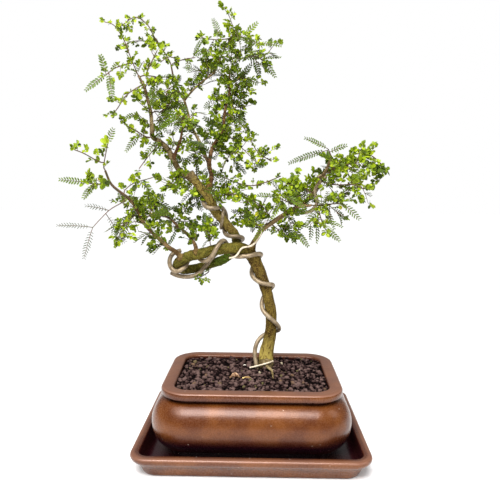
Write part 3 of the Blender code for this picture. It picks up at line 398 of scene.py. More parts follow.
# Leaves that only the finished look has: a leaflet's thickness as a share of its length, the tries
# and sizes of the leaves grown on shoots, and the shoots' own lengths and radii
LEAFLET_THICKNESS = 0.06
LEAFLET_PAIR_PITCH = 2.3
GROWN_TRIES = 7
GROWN_PLUMES = (13, 26)
GROWN_PLUME_WIDTHS = (3.6, 5.2)
GROWN_FANS = (5.2, 7.8)
GROWN_STALKS = (1.5, 4.5)
# How strongly a grown leaf goes on along its shoot and out from it, and turns up or down
TIP_LEAN = (1.1, 0.35)
SIDE_LEAN = (0.45, 0.9)
FAN_RISE = 0.22
PLUME_SAG = -0.35
CLOSED_MOST = 0.6
# The first leaf's and the first side shoot's distance along a shoot, and how uneven the pitch is
FIRST_LEAF = 3.0
FIRST_SHOOT = 5.0
UNEVEN = (0.7, 1.3)
SHOOT_TRIES = 5
SHOOT_LENGTHS = (8.0, 19.0)
# How much a side shoot leans along its parent, and how much its end bends up or down
SHOOT_LEAN = 0.5
SHOOT_BEND = 0.34
SHOOT_RADII = (0.42, 0.34, 0.25)
SHOOT_LEAF_PITCH = 5.0
STEM_SHARE = 0.72
# Past this share of its length a leafy branch has a round stem too, as its skin gets thin there
STEM_TIP = 0.7
# How far a fan's leaflets may turn, tilt and roll from its plan, in degrees, and vary in length
FAN_TURN = 13
FAN_TILT = (-16, 20)
FAN_ROLL = 38
FAN_LENGTHS = (0.88, 1.1)
# A leaf's tint runs from 0, deep green, to 0.86, yellow-green, and a few dry leaflets are past that
DRY_SHARE = 0.004
DRY_TINTS = (0.91, 0.97)
LEAFLET_SPREAD = 0.17
UNDER_SHADE = 0.14
FRONT_TINT = 0.56
# Painted shade: leaves darken towards the back by this much per millimetre
PAINTED_SHADE_PER_DEPTH = 0.0014
PLUME_SHADE = 0.31
DARK_COMB_SHADE = 0.25
LATE_SHADE = 0.05
# A long plume whose tip is this close to the one asked for has been placed
PLACED_WITHIN = 15
BRANCH_FEATHERY = 0.2

# Bark
BARK_VOXEL = 0.85
BARK_SMOOTHINGS = 2
BARK_RIDGE = 0.55
BARK_KNOT = 0.9
GRAIN_STRETCH = 0.28
FULL_GIRTH = 5.0
# The trunk turns yellow below this height, over this much fade
YELLOW_FOOT = (116, 28)
# The surface root is all yellow: it lies below this height and is thinner than the trunk
ROOT_TOP = 84
TRUNK_THICKNESS = 4
# Wood above this height and thicker than this is this much yellow
UPPER_YELLOW = (224, 3.8, 0.55)
# The moss in the low bend's hollow, on wood further back than its front: its middle in x and z, and
# its reach
HOLLOW_FRONT = 24
MOSS = (-33, 203, 24)
# The thinner moss on the low bend itself: its span of heights and its share
BEND_HEIGHTS = (185, 232)
BEND_MOSS = 0.30
# How red the young bark of a branch is
BLUSH = {
    "low_left": 0.45, "mid_left": 0.55, "leader": 0.8, "dark_stub": 0.9, "right": 0.3,
    "right_low": 0.4,
}
# Branches whose bark is a little thinner than their solid
SLENDER = {"low_left": 0.86, "mid_left": 0.88}
# How far apart the grain of two branches starts
WOOD_SHIFT = 57.0
WIRE_EASING = 14

# Soil crumbs: a settled layer at one spacing, then loose large and small ones, each as a number,
# a range of sizes and a range of heights
CRUMB_SPACING = 3.5
CRUMB_COLUMNS = 35
ROW_SHARE = 0.87
CRUMB_FIELD = (82, 58)
BED_CRUMBS = ((1.5, 2.6), (-3.0, -0.8))
LOOSE_CRUMBS = ((900, (1.3, 3.0), (-0.6, 1.7)), (700, (0.7, 1.5), (-1.6, 0.6)))
# Painted light and shade: a crumb is lighter on top and darker underneath, by this much per
# millimetre
CRUMB_PAINTED_LIGHT = 0.17
CRUMB_TINT = 0.38
# Painted light and shade: higher crumbs are lighter and sunken ones darker, by this much per
# millimetre
PAINTED_LIGHT_PER_LIFT = 0.12
# Painted shadow: the soil darkens towards the back, under the pot's rear lip
PAINTED_BACK_SHADOW = 0.10
PALEST_CRUMB = 0.78
PALEST_PLAIN = 0.80
ODD_CRUMBS = 0.035
ODD_TINTS = (0.88, 0.955)
WHITE_CRUMBS = 0.004
# Where the two dry scraps lie, and how far round them and how much the soil is lower
FLAKE_MIDDLES = ((-18.0, -13.5), (-6.0, -14.6))
FLAKE_REACH = 6.5
FLAKE_BED = 1.5

# Stretches of branch with leaves of their own: from, to, leaf spacing and side shoot spacing
LEAFY_WOOD = {
    "right": (0.4, 0.88, 5.0, 7.5),
    "low_left": (0.12, 0.7, 5.0, 7.0),
    "mid_left": (0.12, 1.0, 4.6, 6.5),
    "upper_left": (0.25, 0.95, 7.5, 11.0),
    "leader": (0.3, 0.98, 4.0, 5.4),
    "back_rise": (0.1, 0.85, 7.0, 10.0),
    "crown": (0.1, 1.0, 5.5, 8.5),
    "dark_stub": (0.3, 1.0, 6.0, 11.0),
    "trunk": (0.84, 0.98, 6.0, 9.5),
}

# The camera's turns are its pitch, yaw and roll in degrees, and its place is in millimetres
CAMERA_TURNS = (6.45, -0.81, 0.57)
CAMERA_PLACE = (4.2, -578, 281)
CAMERA_LENS = 38.16
ROOM_LIGHT = 0.36
WINDOW_LIGHT = 2.3
WHITE = (1.0, 1.0, 1.0, 1.0)
# Soft lights: name, place and target in metres, size and power
LIGHTS = (
    ("high_front", (-0.10, -0.68, 0.98), (0, -0.05, 0.05), (0.84, 0.54), 18),
    ("high_right", (1.1, -0.3, 0.9), (0, 0, 0.1), (0.5, 0.7), 3),
)


def unit(vector):
    return vector / np.linalg.norm(vector)


def clamp(value, low=0.0, high=1.0):
    return max(low, min(high, value))


def across(heading, wish):
    """The direction square to a heading that lies nearest to a wish."""
    return unit(np.array(wish) - heading * np.dot(wish, heading))


def jitter(chance, amount=1.0):
    return np.array([chance.uniform(-amount, amount) for _ in range(3)])


def distances_along(route):
    steps = np.linalg.norm(np.diff(route[:, :3], axis=0), axis=1)
    return np.concatenate(((0.0,), np.cumsum(steps)))


def sample(rows, along, place):
    """The rows' values at a place between them, where along has the place of each row."""
    return np.array([np.interp(place, along, column) for column in rows.T])


def point_on(route, distance):
    return sample(route[:, :3], distances_along(route), distance)


def near_any(point, radius, obstacles):
    """Whether a ball touches any obstacle, each a centre and a radius."""
    lengths = np.linalg.norm(obstacles[:, :3] - point, axis=1)
    return bool(np.any(lengths < obstacles[:, 3] + radius))


def smooth_route(points, step):
    """A Catmull-Rom curve through the points, sampled about every step."""
    given = np.array(points, dtype=float)
    ends = np.vstack((2 * given[0] - given[1], given, 2 * given[-1] - given[-2]))
    samples = []
    for index in range(1, len(ends) - 2):
        before, start, stop, after = ends[index - 1:index + 3]
        length = np.linalg.norm(stop[:3] - start[:3])
        count = max(1, round(length / step))
        for part in range(count):
            t = part / count
            samples.append(0.5 * (
                2 * start
                + (stop - before) * t
                + (2 * before - 5 * start + 4 * stop - after) * t ** 2
                + (3 * start - before - 3 * stop + after) * t ** 3
            ))
    samples.append(given[-1])
    return np.array(samples)


def wind(core, turns, radius):
    """The route of a wire wound on a core: each turn is a distance, an angle and a lift."""
    along = distances_along(core)
    tangents = np.gradient(core[:, :3], axis=0)
    turns = np.array(turns, dtype=float)
    places, angles = turns[:, 0], turns[:, 1]
    effort = np.abs(np.diff(angles)) / WINDING_DEGREES + np.abs(np.diff(places)) / WINDING_LENGTH
    effort = np.concatenate(((0.0,), np.cumsum(effort)))
    route = []
    for step in np.linspace(0, effort[-1], round(effort[-1]) + 1):
        place, degrees, lift = sample(turns, effort, step)
        angle = math.radians(degrees)
        centre = sample(core, along, place)
        forward = unit(sample(tangents, along, place))
        front = across(forward, (0.0, -1.0, 0.0))
        side = np.cross(forward, front)
        reach = centre[3] + radius + GAP + WIRE_CLEARANCE + lift
        route.append(centre[:3] + reach * (math.cos(angle) * side + math.sin(angle) * front))
    return np.array(route)


def settle(route, radius, obstacles):
    """Push a route's points out until it clears every obstacle, each a centre and a radius."""
    reaches = obstacles[:, 3] + radius + GAP + WIRE_CLEARANCE
    route = np.array(route, dtype=float)
    for _ in range(SETTLING_ROUNDS):
        for index, point in enumerate(route):
            offsets = point - obstacles[:, :3]
            lengths = np.linalg.norm(offsets, axis=1)
            depths = reaches - lengths
            worst = int(np.argmax(depths))
            if depths[worst] > 0:
                route[index] = point + offsets[worst] / lengths[worst] * depths[worst]
    return route


def settled_wires(fine_wood):
    """Every wire's route, each settled clear of the wood and of the wires before it."""
    placed = np.vstack(list(fine_wood.values()))
    wires = {}
    for name, radius, points, step in WIRES:
        route = smooth_route(points, step) if step else wind(fine_wood["trunk"], points, radius)
        route = settle(route, radius, placed)
        wires[name] = np.column_stack((route, np.full(len(route), radius)))
        placed = np.vstack((placed, smooth_route(wires[name], FINE_STEP)))
    return wires


def twig_start(toward, fine_wood):
    """Where a twig leaves the branch nearest to it, and its direction there."""
    gaps = {name: np.linalg.norm(route[:, :3] - toward, axis=1) - route[:, 3]
            for name, route in fine_wood.items()}
    nearest = min(gaps, key=lambda name: gaps[name].min())
    route, index = fine_wood[nearest], int(np.argmin(gaps[nearest]))
    away = unit(toward - route[index, :3])
    reach = route[index, 3] + TWIG_GAP
    if index == len(route) - 1:
        cosine = float(np.dot(unit(route[-1, :3] - route[-2, :3]), away))
        if cosine > ONWARD_COSINE:
            reach = (TWIG_GAP + TWIG_RADIUS * math.sqrt(1 - min(1.0, cosine ** 2))) / cosine
    return route[index, :3] + away * reach, away


def make_twigs(fine_wood, solid):
    """Every spray's twigs: the first starts just off its branch, the others on the first."""
    twigs = {}
    placed = solid
    for spray in SPRAYS:
        routes = []
        for number, points in enumerate(spray.twigs):
            route = np.array(points, dtype=float)
            if number == 0:
                start_radius = TWIG_RADIUS
                start, away = twig_start(route[0], fine_wood)
                rest = [point for point in route if np.linalg.norm(point - start) > TWIG_SKIP]
                route = np.vstack((start, start + away * TWIG_LEAD, rest))
            else:
                start_radius = TWIG_RADIUS * SIDE_TWIG_SHARE
                first = smooth_route(routes[0], FINE_STEP)[:, :3]
                route[0] = first[int(np.argmin(np.linalg.norm(first - route[0], axis=1)))]
            radii = np.linspace(start_radius, TWIG_TIP_RADIUS, len(route))
            fine = smooth_route(np.column_stack((route, radii)), TWIG_STEP)
            free = int(np.argmax(distances_along(fine) > TWIG_FIXED))
            fine[free:, :3] = settle(fine[free:, :3], start_radius, placed)
            routes.append(fine[[0, *range(2, len(fine) - 3, TWIG_KEEP), len(fine) - 1]])
        twigs[spray.name] = routes
        placed = np.vstack([placed] + [smooth_route(route, FINE_STEP) for route in routes])
    return twigs


# A leaf is a fan of leaflets on a stalk or a long plume, of which size is the half width
Leaf = namedtuple("Leaf", "kind start forward normal length size stalk")


def plume_along(start, reach, wish):
    """A feathery leaf that goes along a reach and faces a wish."""
    length = np.linalg.norm(reach)
    forward = reach / length
    return Leaf("plume", start, forward, across(forward, wish), length, PLUME_HALF_WIDTH, 0.0)


def leaf_spheres(leaf):
    """Spheres that hold a leaf, used to keep leaves apart."""
    if leaf.kind == "fan":
        middle = leaf.start + leaf.forward * (leaf.stalk + leaf.size * FAN_MIDDLE)
        stalk = leaf.start + leaf.forward * (leaf.stalk * STALK_MIDDLE)
        return [(*middle, leaf.size * FAN_REACH), (*stalk, STALK_HALF_WIDTH)]
    return [(*(leaf.start + leaf.forward * (leaf.length * share)), leaf.size * width)
            for share, width in PLUME_SPHERES]


def lay_out_leaves(twigs, solid):
    """Choose every leaf of every spray, so that none touches another spray, wood or wire."""
    chance = random.Random(SEED)
    dense = {name: np.vstack([smooth_route(route, 2.5) for route in routes])
             for name, routes in twigs.items()}
    leaves = {spray.name: [] for spray in SPRAYS}
    taken = []

    def place(spray, make):
        others = [points for name, points in dense.items() if name != spray.name]
        obstacles = np.vstack([solid] + others + ([np.array(taken)] if taken else []))
        for attempt in range(LEAF_TRIES):
            leaf = make(attempt)
            spheres = leaf_spheres(leaf)
            if not any(near_any(sphere[:3], sphere[3] + LEAF_MARGIN, obstacles)
                       for sphere in spheres):
                leaves[spray.name].append(leaf)
                taken.extend(spheres)
                return

    for spray in SPRAYS:
        for twig_number, share, tip in spray.plumes:
            twig = twigs[spray.name][twig_number]
            start = point_on(twig, share * distances_along(twig)[-1])

            def plume(attempt):
                reach = (tip - start) * (1 - PLUME_SHORTENING * attempt)
                reach = reach + jitter(chance, PLUME_STRAYING * attempt)
                wish = np.array(PLUME_FACE) + jitter(chance, PLUME_FACE_SPREAD)
                return plume_along(start, reach, wish)

            place(spray, plume)
    for spray in SPRAYS:
        routes = twigs[spray.name]
        lengths = np.array([distances_along(route)[-1] for route in routes])
        for number in range(spray.leaves):
            distance = lengths.sum() * (number + 0.9) / (spray.leaves + 0.15)
            route_number = 0
            while distance > lengths[route_number] and route_number < len(routes) - 1:
                distance -= lengths[route_number]
                route_number += 1
            twig = routes[route_number]
            distance = min(distance, lengths[route_number] * 0.985)
            start = point_on(twig, distance)
            heading = unit(point_on(twig, distance + 3) - point_on(twig, distance - 3))
            last = distance > lengths[route_number] * 0.9

            def fan(attempt):
                sideways = across(heading, jitter(chance))
                lean = 0.9 if last else 0.35
                forward = unit(heading * lean + sideways * (0.3 if last and attempt < 4 else 0.9)
                               + np.array((0.0, 0.0, 0.25)))
                normal = across(forward, np.array(LEAF_FACE) + jitter(chance, LEAF_FACE_SPREAD))
                size = chance.uniform(*FAN_SIZES)
                stalk = chance.uniform(*FAN_STALKS)
                return Leaf("fan", start, forward, normal, stalk + size, size, stalk)

            place(spray, fan)
    return leaves


class Signal:
    """A value running through a material, so that shading is written as plain sums and products."""

    def __init__(self, finish, socket):
        self.finish = finish
        self.socket = socket

    def combined(self, operation, first, second):
        return self.finish.node("ShaderNodeMath", {"operation": operation}, {0: first, 1: second})

    def __add__(self, other):
        return self.combined("ADD", self, other)

    def __sub__(self, other):
        return self.combined("SUBTRACT", self, other)

    def __rsub__(self, other):
        return self.combined("SUBTRACT", other, self)

    def __mul__(self, other):
        return self.combined("MULTIPLY", self, other)

    __radd__ = __add__

    def between(self, low, high):
        """0 below low and 1 above high, with a soft step between them."""
        return self.finish.node(
            "ShaderNodeMapRange", {"interpolation_type": "SMOOTHSTEP"}, {0: self, 1: low, 2: high})


class Finish:
    """A surface finish whose pattern is built up one node at a time."""

    def __init__(self, name, **settings):
        self.surface = bpy.data.materials.new(name)
        self.surface.use_nodes = True
        self.tree = self.surface.node_tree
        self.shader = self.tree.nodes["Principled BSDF"]
        for socket, value in settings.items():
            self.shader.inputs[socket.replace("_", " ")].default_value = value

    def node(self, kind, settings, sockets, output=0):
        made = self.tree.nodes.new(kind)
        for name, value in settings.items():
            setattr(made, name, value)
        for socket, value in sockets.items():
            self.feed(made.inputs[socket], value)
        return Signal(self, made.outputs[output])

    def feed(self, socket, value):
        """Give a socket a signal, a number, or a colour as red, green and blue."""
        if isinstance(value, Signal):
            self.tree.links.new(value.socket, socket)
        else:
            socket.default_value = (*value, 1.0) if isinstance(value, tuple) else value

    def place(self):
        return self.node("ShaderNodeTexCoord", {}, {}, "Object")

    def attribute(self, name, output="Fac"):
        return self.node("ShaderNodeAttribute", {"attribute_name": name}, {}, output)

    def grain(self, size, detail=3.0, place=None, contrast=0.55):
        """Cloudy noise whose patches are about size millimetres across."""
        return self.node("ShaderNodeTexNoise", {}, {
            "Vector": place or self.place(), "Scale": 1 / (size * MM), "Detail": detail,
            "Roughness": contrast})

    def cells(self, size, place=None):
        """Distance from the middle of scattered cells about size millimetres apart."""
        return self.node("ShaderNodeTexVoronoi", {}, {
            "Vector": place or self.place(), "Scale": 1 / (size * MM)}, "Distance")

    def blend(self, share, first, second):
        return self.node("ShaderNodeMix", {"data_type": "RGBA"}, {0: share, 6: first, 7: second}, 2)

    def coats(self, body, *layers):
        """A body under coats, each a share and a colour, the last on top."""
        for share, tone in layers:
            body = self.blend(share, body, tone)
        return body

    def ramp(self, value, stops):
        made = self.tree.nodes.new("ShaderNodeValToRGB")
        elements = made.color_ramp.elements
        while len(elements) < len(stops):
            elements.new(0.5)
        for element, (position, colour) in zip(elements, stops):
            element.position = position
            element.color = (*colour, 1.0)
        self.feed(made.inputs[0], value)
        return Signal(self, made.outputs[0])

    def relief(self, height, depth):
        """Raise the surface by height times depth millimetres."""
        bumped = self.node("ShaderNodeBump", {}, {
            "Strength": 1.0, "Distance": depth * MM, "Height": height})
        self.feed(self.shader.inputs["Normal"], bumped)

    def wear(self, colour, roughness=None):
        self.feed(self.shader.inputs["Base Color"], colour)
        if roughness is not None:
            self.feed(self.shader.inputs["Roughness"], roughness)
        return self.surface


def glaze_finish():
    """Brown satin glaze, finely pitted: thin and pale on edges, with near-black painted shade in
    the neck, under the belly, on the foot and inside the tray.
    """
    finish = Finish("brown_glaze", Metallic=0.16, Specular_IOR_Level=0.30, Coat_Weight=0.17,
                    Coat_Roughness=0.20)
    thin = finish.attribute("thin")
    pits = finish.grain(1.2, 2.0)
    specks = 1.0 - finish.cells(11.0).between(0.030, 0.048)
    clouds = finish.grain(30, 3.0).between(0.36, 0.66)
    body = finish.coats(
        finish.blend(clouds, (0.080, 0.019, 0.0025), (0.138, 0.041, 0.0065)),
        (pits.between(0.50, 0.75) * 0.20, (0.24, 0.095, 0.040)),
        (thin, (0.235, 0.118, 0.080)),
        # Painted shade: the glaze goes near black where the profile marks it shaded
        (finish.attribute("deep"), (0.014, 0.001, 0.006)),
        (specks * 0.8, (0.62, 0.50, 0.42)))
    finish.relief(pits * 0.7 + finish.grain(6.0, 2.0) * 0.9, 0.18)
    return finish.wear(body, 0.24 + pits.between(0.35, 0.7) * 0.12 + thin * 0.10)


def soil_finish():
    finish = Finish("dark_soil", Roughness=0.95, Specular_IOR_Level=0.04)
    body = finish.blend(finish.grain(3.0).between(0.4, 0.7), (0.001, 0.0005, 0.0005),
                        (0.006, 0.003, 0.003))
    finish.relief(finish.grain(1.2), 0.6)
    return finish.wear(body)


def crumb_finish():
    """Baked soil crumbs: black with a purple cast, a few brown, mossy or pale ones."""
    finish = Finish("soil_crumbs", Specular_IOR_Level=0.04)
    tint = finish.attribute("tint")
    # The tint also carries painted light and shade, so sunken crumbs and undersides go near black
    body = finish.ramp(tint, (
        (0.0, (0.0005, 0.0002, 0.0002)), (0.30, (0.006, 0.002, 0.002)),
        (0.52, (0.042, 0.023, 0.021)), (0.80, (0.125, 0.078, 0.068)), (0.90, (0.150, 0.090, 0.055)),
        (0.955, (0.10, 0.092, 0.035)), (1.0, (0.42, 0.35, 0.24))))
    dust = finish.grain(0.9).between(0.52, 0.75)
    body = finish.blend(dust * 0.22 * tint, body, (0.24, 0.150, 0.135))
    finish.relief(finish.grain(0.9, 3.0), 0.8)
    return finish.wear(body, 0.64 + dust * 0.25)


def bark_finish():
    """Dark olive bark with golden flecks, drawn out along the wood: mossy in one hollow, yellow at
    the foot, and plain beige or reddish where it is young."""
    finish = Finish("olive_bark", Specular_IOR_Level=0.1)
    along = finish.attribute("along", "Vector")
    furrows = finish.grain(2.4, 4.0, along, 0.65)
    patches = finish.grain(8.0, 3.0, along)
    fine = finish.grain(0.9, 2.0)
    scars = finish.cells(3.2, along)
    broad = patches.between(0.4, 0.65)
    beige = finish.blend(broad, (0.105, 0.070, 0.026), (0.31, 0.235, 0.115))
    red = finish.blend(broad, (0.080, 0.033, 0.013), (0.225, 0.112, 0.045))
    young = finish.coats(
        finish.blend(finish.attribute("blush"), beige, red),
        (furrows.between(0.55, 0.72) * 0.6, (0.045, 0.022, 0.012)))
    yellow = finish.blend(furrows.between(0.48, 0.60), (0.50, 0.39, 0.095), (0.14, 0.078, 0.018))
    body = finish.coats(
        finish.blend(patches.between(0.40, 0.60), (0.052, 0.027, 0.005), (0.125, 0.084, 0.014)),
        (furrows.between(0.50, 0.66) * 0.80, (0.020, 0.010, 0.003)),
        (fine.between(0.53, 0.64) * 0.62, (0.36, 0.245, 0.055)),
        ((1.0 - scars.between(0.10, 0.34)) * 0.55, (0.030, 0.014, 0.004)),
        (finish.attribute("foot") * 0.85, yellow),
        (finish.attribute("moss") * fine.between(0.35, 0.6), (0.10, 0.18, 0.015)),
        (finish.attribute("girth").between(0.95, 0.5), young))
    finish.relief(furrows * 1.2 + fine * 0.6 + scars * 0.7, 1.0)
    return finish.wear(body, 0.66 + fine * 0.25)


def wire_finish(name, pale, dark, shine):
    finish = Finish(name, Metallic=shine)
    scuffs = finish.grain(5.0, 2.0)
    body = finish.blend(scuffs.between(0.34, 0.66), dark, pale)
    finish.relief(finish.grain(1.4, 2.0), 0.03)
    return finish.wear(body, 0.38 + scuffs.between(0.35, 0.7) * 0.2)


def leaf_finish():
    """Leaflets from deep green through mid green to fresh yellow-green, and a few dry ones."""
    finish = Finish("acacia_leaf", Specular_IOR_Level=0.20)
    tint = finish.attribute("tint")
    mottle = finish.grain(2.6, 2.0)
    body = finish.ramp(tint + (mottle - 0.5) * 0.16, (
        (0.0, (0.020, 0.036, 0.001)), (0.30, (0.060, 0.098, 0.002)),
        (0.60, (0.165, 0.235, 0.004)), (0.86, (0.305, 0.385, 0.012)),
        (0.92, (0.42, 0.44, 0.012)), (0.97, (0.50, 0.27, 0.04))))
    finish.relief(finish.grain(0.7, 2.0), 0.10)
    return finish.wear(body, 0.34 + mottle * 0.2)


def shoot_finish():
    """Thin shoots, brown with redder patches."""
    finish = Finish("brown_shoot")
    body = finish.blend(finish.grain(6.0).between(0.4, 0.62), (0.065, 0.050, 0.016),
                        (0.090, 0.034, 0.014))
    finish.relief(finish.grain(0.7), 0.08)
    return finish.wear(body, 0.6 + finish.grain(2.0) * 0.2)


def litter_finish(name, dark, pale, size):
    finish = Finish(name)
    streaks = finish.grain(size, 4.0)
    finish.relief(streaks, 0.3)
    return finish.wear(finish.blend(streaks.between(0.38, 0.66), dark, pale), 0.65 + streaks * 0.2)


# A body is its points in millimetres, the corners of its faces as one list, where each face starts
# in that list, a tint for each point, and one finish number.
Body = namedtuple("Body", "points corners starts tints finish")


def mesh_from_sheet(name, sheet):
    mesh = bpy.data.meshes.new(name)
    sheet.to_mesh(mesh)
    sheet.free()
    return mesh


def body_from_sheet(sheet, finish=0):
    mesh = mesh_from_sheet("shape", sheet)
    points = np.empty(len(mesh.vertices) * 3)
    mesh.vertices.foreach_get("co", points)
    corners = np.empty(len(mesh.loops), dtype=np.int32)
    mesh.loops.foreach_get("vertex_index", corners)
    starts = np.empty(len(mesh.polygons), dtype=np.int32)
    mesh.polygons.foreach_get("loop_start", starts)
    bpy.data.meshes.remove(mesh)
    points = points.reshape(-1, 3)
    return Body(points, corners, starts, np.zeros(len(points)), finish)


def many(shape, origins, axes, tints):
    """Copies of a shape, each with its own origin, axes (three scaled rows) and tint."""
    origins = np.array(origins)
    count, size = len(origins), len(shape.points)
    points = np.einsum("pk,nkc->npc", shape.points, np.array(axes)) + origins[:, None, :]
    steps = np.arange(count)[:, None]
    corners = (shape.corners[None, :] + steps * size).ravel()
    starts = (shape.starts[None, :] + steps * len(shape.corners)).ravel()
    return Body(points.reshape(-1, 3), corners, starts, np.repeat(tints, size), 0)


def add_to_scene(name, data):
    thing = bpy.data.objects.new(name, data)
    bpy.context.scene.collection.objects.link(thing)
    return thing


def evaluated_mesh(thing):
    """The mesh that an object's bevel or modifiers give. The object itself goes."""
    graph = bpy.context.evaluated_depsgraph_get()
    mesh = bpy.data.meshes.new_from_object(thing.evaluated_get(graph))
    bpy.data.objects.remove(thing)
    return mesh


def make_piece(name, bodies, finishes, stands_for=(), sharp=50):
    """Join bodies into one piece of the plant that rides on the root body."""
    mesh = bpy.data.meshes.new(name)
    points = np.vstack([body.points for body in bodies]) * MM
    offset = np.cumsum([0] + [len(body.points) for body in bodies])
    corner_offset = np.cumsum([0] + [len(body.corners) for body in bodies])
    corners = np.concatenate([body.corners + offset[n] for n, body in enumerate(bodies)])
    starts = np.concatenate([body.starts + corner_offset[n] for n, body in enumerate(bodies)])
    mesh.vertices.add(len(points))
    mesh.vertices.foreach_set("co", points.ravel())
    mesh.loops.add(len(corners))
    mesh.loops.foreach_set("vertex_index", corners.astype(np.int32))
    mesh.polygons.add(len(starts))
    mesh.polygons.foreach_set("loop_start", starts.astype(np.int32))
    numbers = np.concatenate([np.full(len(body.starts), body.finish) for body in bodies])
    mesh.polygons.foreach_set("material_index", numbers.astype(np.int32))
    mesh.update(calc_edges=True)
    mesh.attributes.new("tint", "FLOAT", "POINT").data.foreach_set(
        "value", np.concatenate([body.tints for body in bodies]).astype(np.float32))
    return finish_piece(name, mesh, finishes, stands_for, sharp)


def finish_piece(name, mesh, finishes, stands_for=(), sharp=50):
    mesh.name = name
    for surface in finishes:
        mesh.materials.append(surface)
    mesh.shade_smooth()
    mesh.set_sharp_from_angle(angle=math.radians(sharp))
    thing = add_to_scene(name, mesh)
    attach(thing, "root")
    if stands_for:
        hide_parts(*stands_for)
    return thing


def tubes(routes, half_sides, finish=0):
    """Round closed tubes along routes of x, y, z and radius, as one body."""
    curve = bpy.data.curves.new("tubes", "CURVE")
    curve.dimensions = "3D"
    curve.bevel_depth = 1.0
    curve.bevel_resolution = half_sides - 2
    curve.use_fill_caps = True
    for route in routes:
        line = curve.splines.new("POLY")
        line.points.add(len(route) - 1)
        rows = np.column_stack((route[:, :3], np.ones(len(route))))
        line.points.foreach_set("co", rows.ravel())
        line.points.foreach_set("radius", route[:, 3].copy())
    mesh = evaluated_mesh(add_to_scene("tubes", curve))
    bpy.data.curves.remove(curve)
    sheet = bmesh.new()
    sheet.from_mesh(mesh)
    bpy.data.meshes.remove(mesh)
    bmesh.ops.remove_doubles(sheet, verts=sheet.verts, dist=0.001)
    bmesh.ops.recalc_face_normals(sheet, faces=sheet.faces)
    return body_from_sheet(sheet, finish)


def rounded_outline(half_x, half_y, corner, height):
    """Points round a rectangle with rounded corners, starting at the right."""
    points = []
    for sign_x, sign_y, start in ((1, 1, 0), (-1, 1, 90), (-1, -1, 180), (1, -1, 270)):
        for step in range(CORNER_STEPS + 1):
            angle = math.radians(start + 90 * step / CORNER_STEPS)
            points.append(Vector((
                sign_x * (half_x - corner) + corner * math.cos(angle),
                sign_y * (half_y - corner) + corner * math.sin(angle), height)))
    return points


# A bend of a ceramic profile: its distance in from the rim's outer edge, its height, its corner
# # radius in plan, how softly it turns, how thin the glaze lies there, and how much painted shade
# # darkens it there
Edge = namedtuple("Edge", "inset height corner soft thin deep", defaults=(0.0, 0.0, 0.0))
SOFT_STEPS = 5
CORNER_STEPS = 14


def softened(profile):
    """Round each corner of a profile over its own soft distance."""
    result = []
    for number, edge in enumerate(profile):
        here = np.array(edge, dtype=float)
        if edge.soft == 0 or number in (0, len(profile) - 1):
            result.append(here)
            continue
        ends = []
        for other in (profile[number - 1], profile[number + 1]):
            other = np.array(other, dtype=float)
            length = np.linalg.norm(other[:2] - here[:2])
            ends.append(here + (other - here) * min(0.48, edge.soft / length))
        for t in np.arange(SOFT_STEPS + 1) / SOFT_STEPS:
            bend = ends[0] * (1 - t) ** 2 + here * 2 * t * (1 - t) + ends[1] * t ** 2
            bend[4:] = here[4:]
            result.append(bend)
    return result


def thrown_body(name, node, half_x, half_y, profile, surface):
    """A closed ceramic body: a ring is drawn out along the profile and both ends are filled."""
    rows = softened(profile)
    sheet = bmesh.new()
    thin = sheet.verts.layers.float.new("thin")
    deep = sheet.verts.layers.float.new("deep")

    def shape(ring, row):
        outline = rounded_outline(half_x - row[0], half_y - row[0], row[2], row[1])
        for vertex, point in zip(ring, outline):
            vertex.co = point * MM
            vertex[thin] = row[4]
            vertex[deep] = row[5]

    ring = bmesh.ops.create_circle(
        sheet, cap_ends=False, segments=4 * (CORNER_STEPS + 1), radius=0.1)["verts"]
    shape(ring, rows[0])
    first = list(ring)
    edges = list(sheet.edges)
    for row in rows[1:]:
        drawn = bmesh.ops.extrude_edge_only(sheet, edges=edges)["geom"]
        new = {item for item in drawn if isinstance(item, bmesh.types.BMVert)}
        edges = [item for item in drawn if isinstance(item, bmesh.types.BMEdge)
                 and all(vertex in new for vertex in item.verts)]
        ring = [next(edge.other_vert(vertex) for edge in vertex.link_edges
                     if edge.other_vert(vertex) in new) for vertex in ring]
        shape(ring, row)
    bmesh.ops.contextual_create(sheet, geom=first)
    bmesh.ops.contextual_create(sheet, geom=ring)
    bmesh.ops.recalc_face_normals(sheet, faces=sheet.faces)
    finish_piece(name, mesh_from_sheet(name, sheet), [surface], (node,), 60)


def pot_edge(inset, height, *rest):
    return Edge(inset, height, max(LIP_CORNER - inset, 9.0), *rest)


def belly_edge(degrees, deep):
    angle = math.radians(degrees)
    return pot_edge(BELLY_INSET - BELLY_SWELL * math.cos(angle),
                    BELLY_MIDDLE + BELLY_RISE * math.sin(angle), 0.0, 0.0, deep)


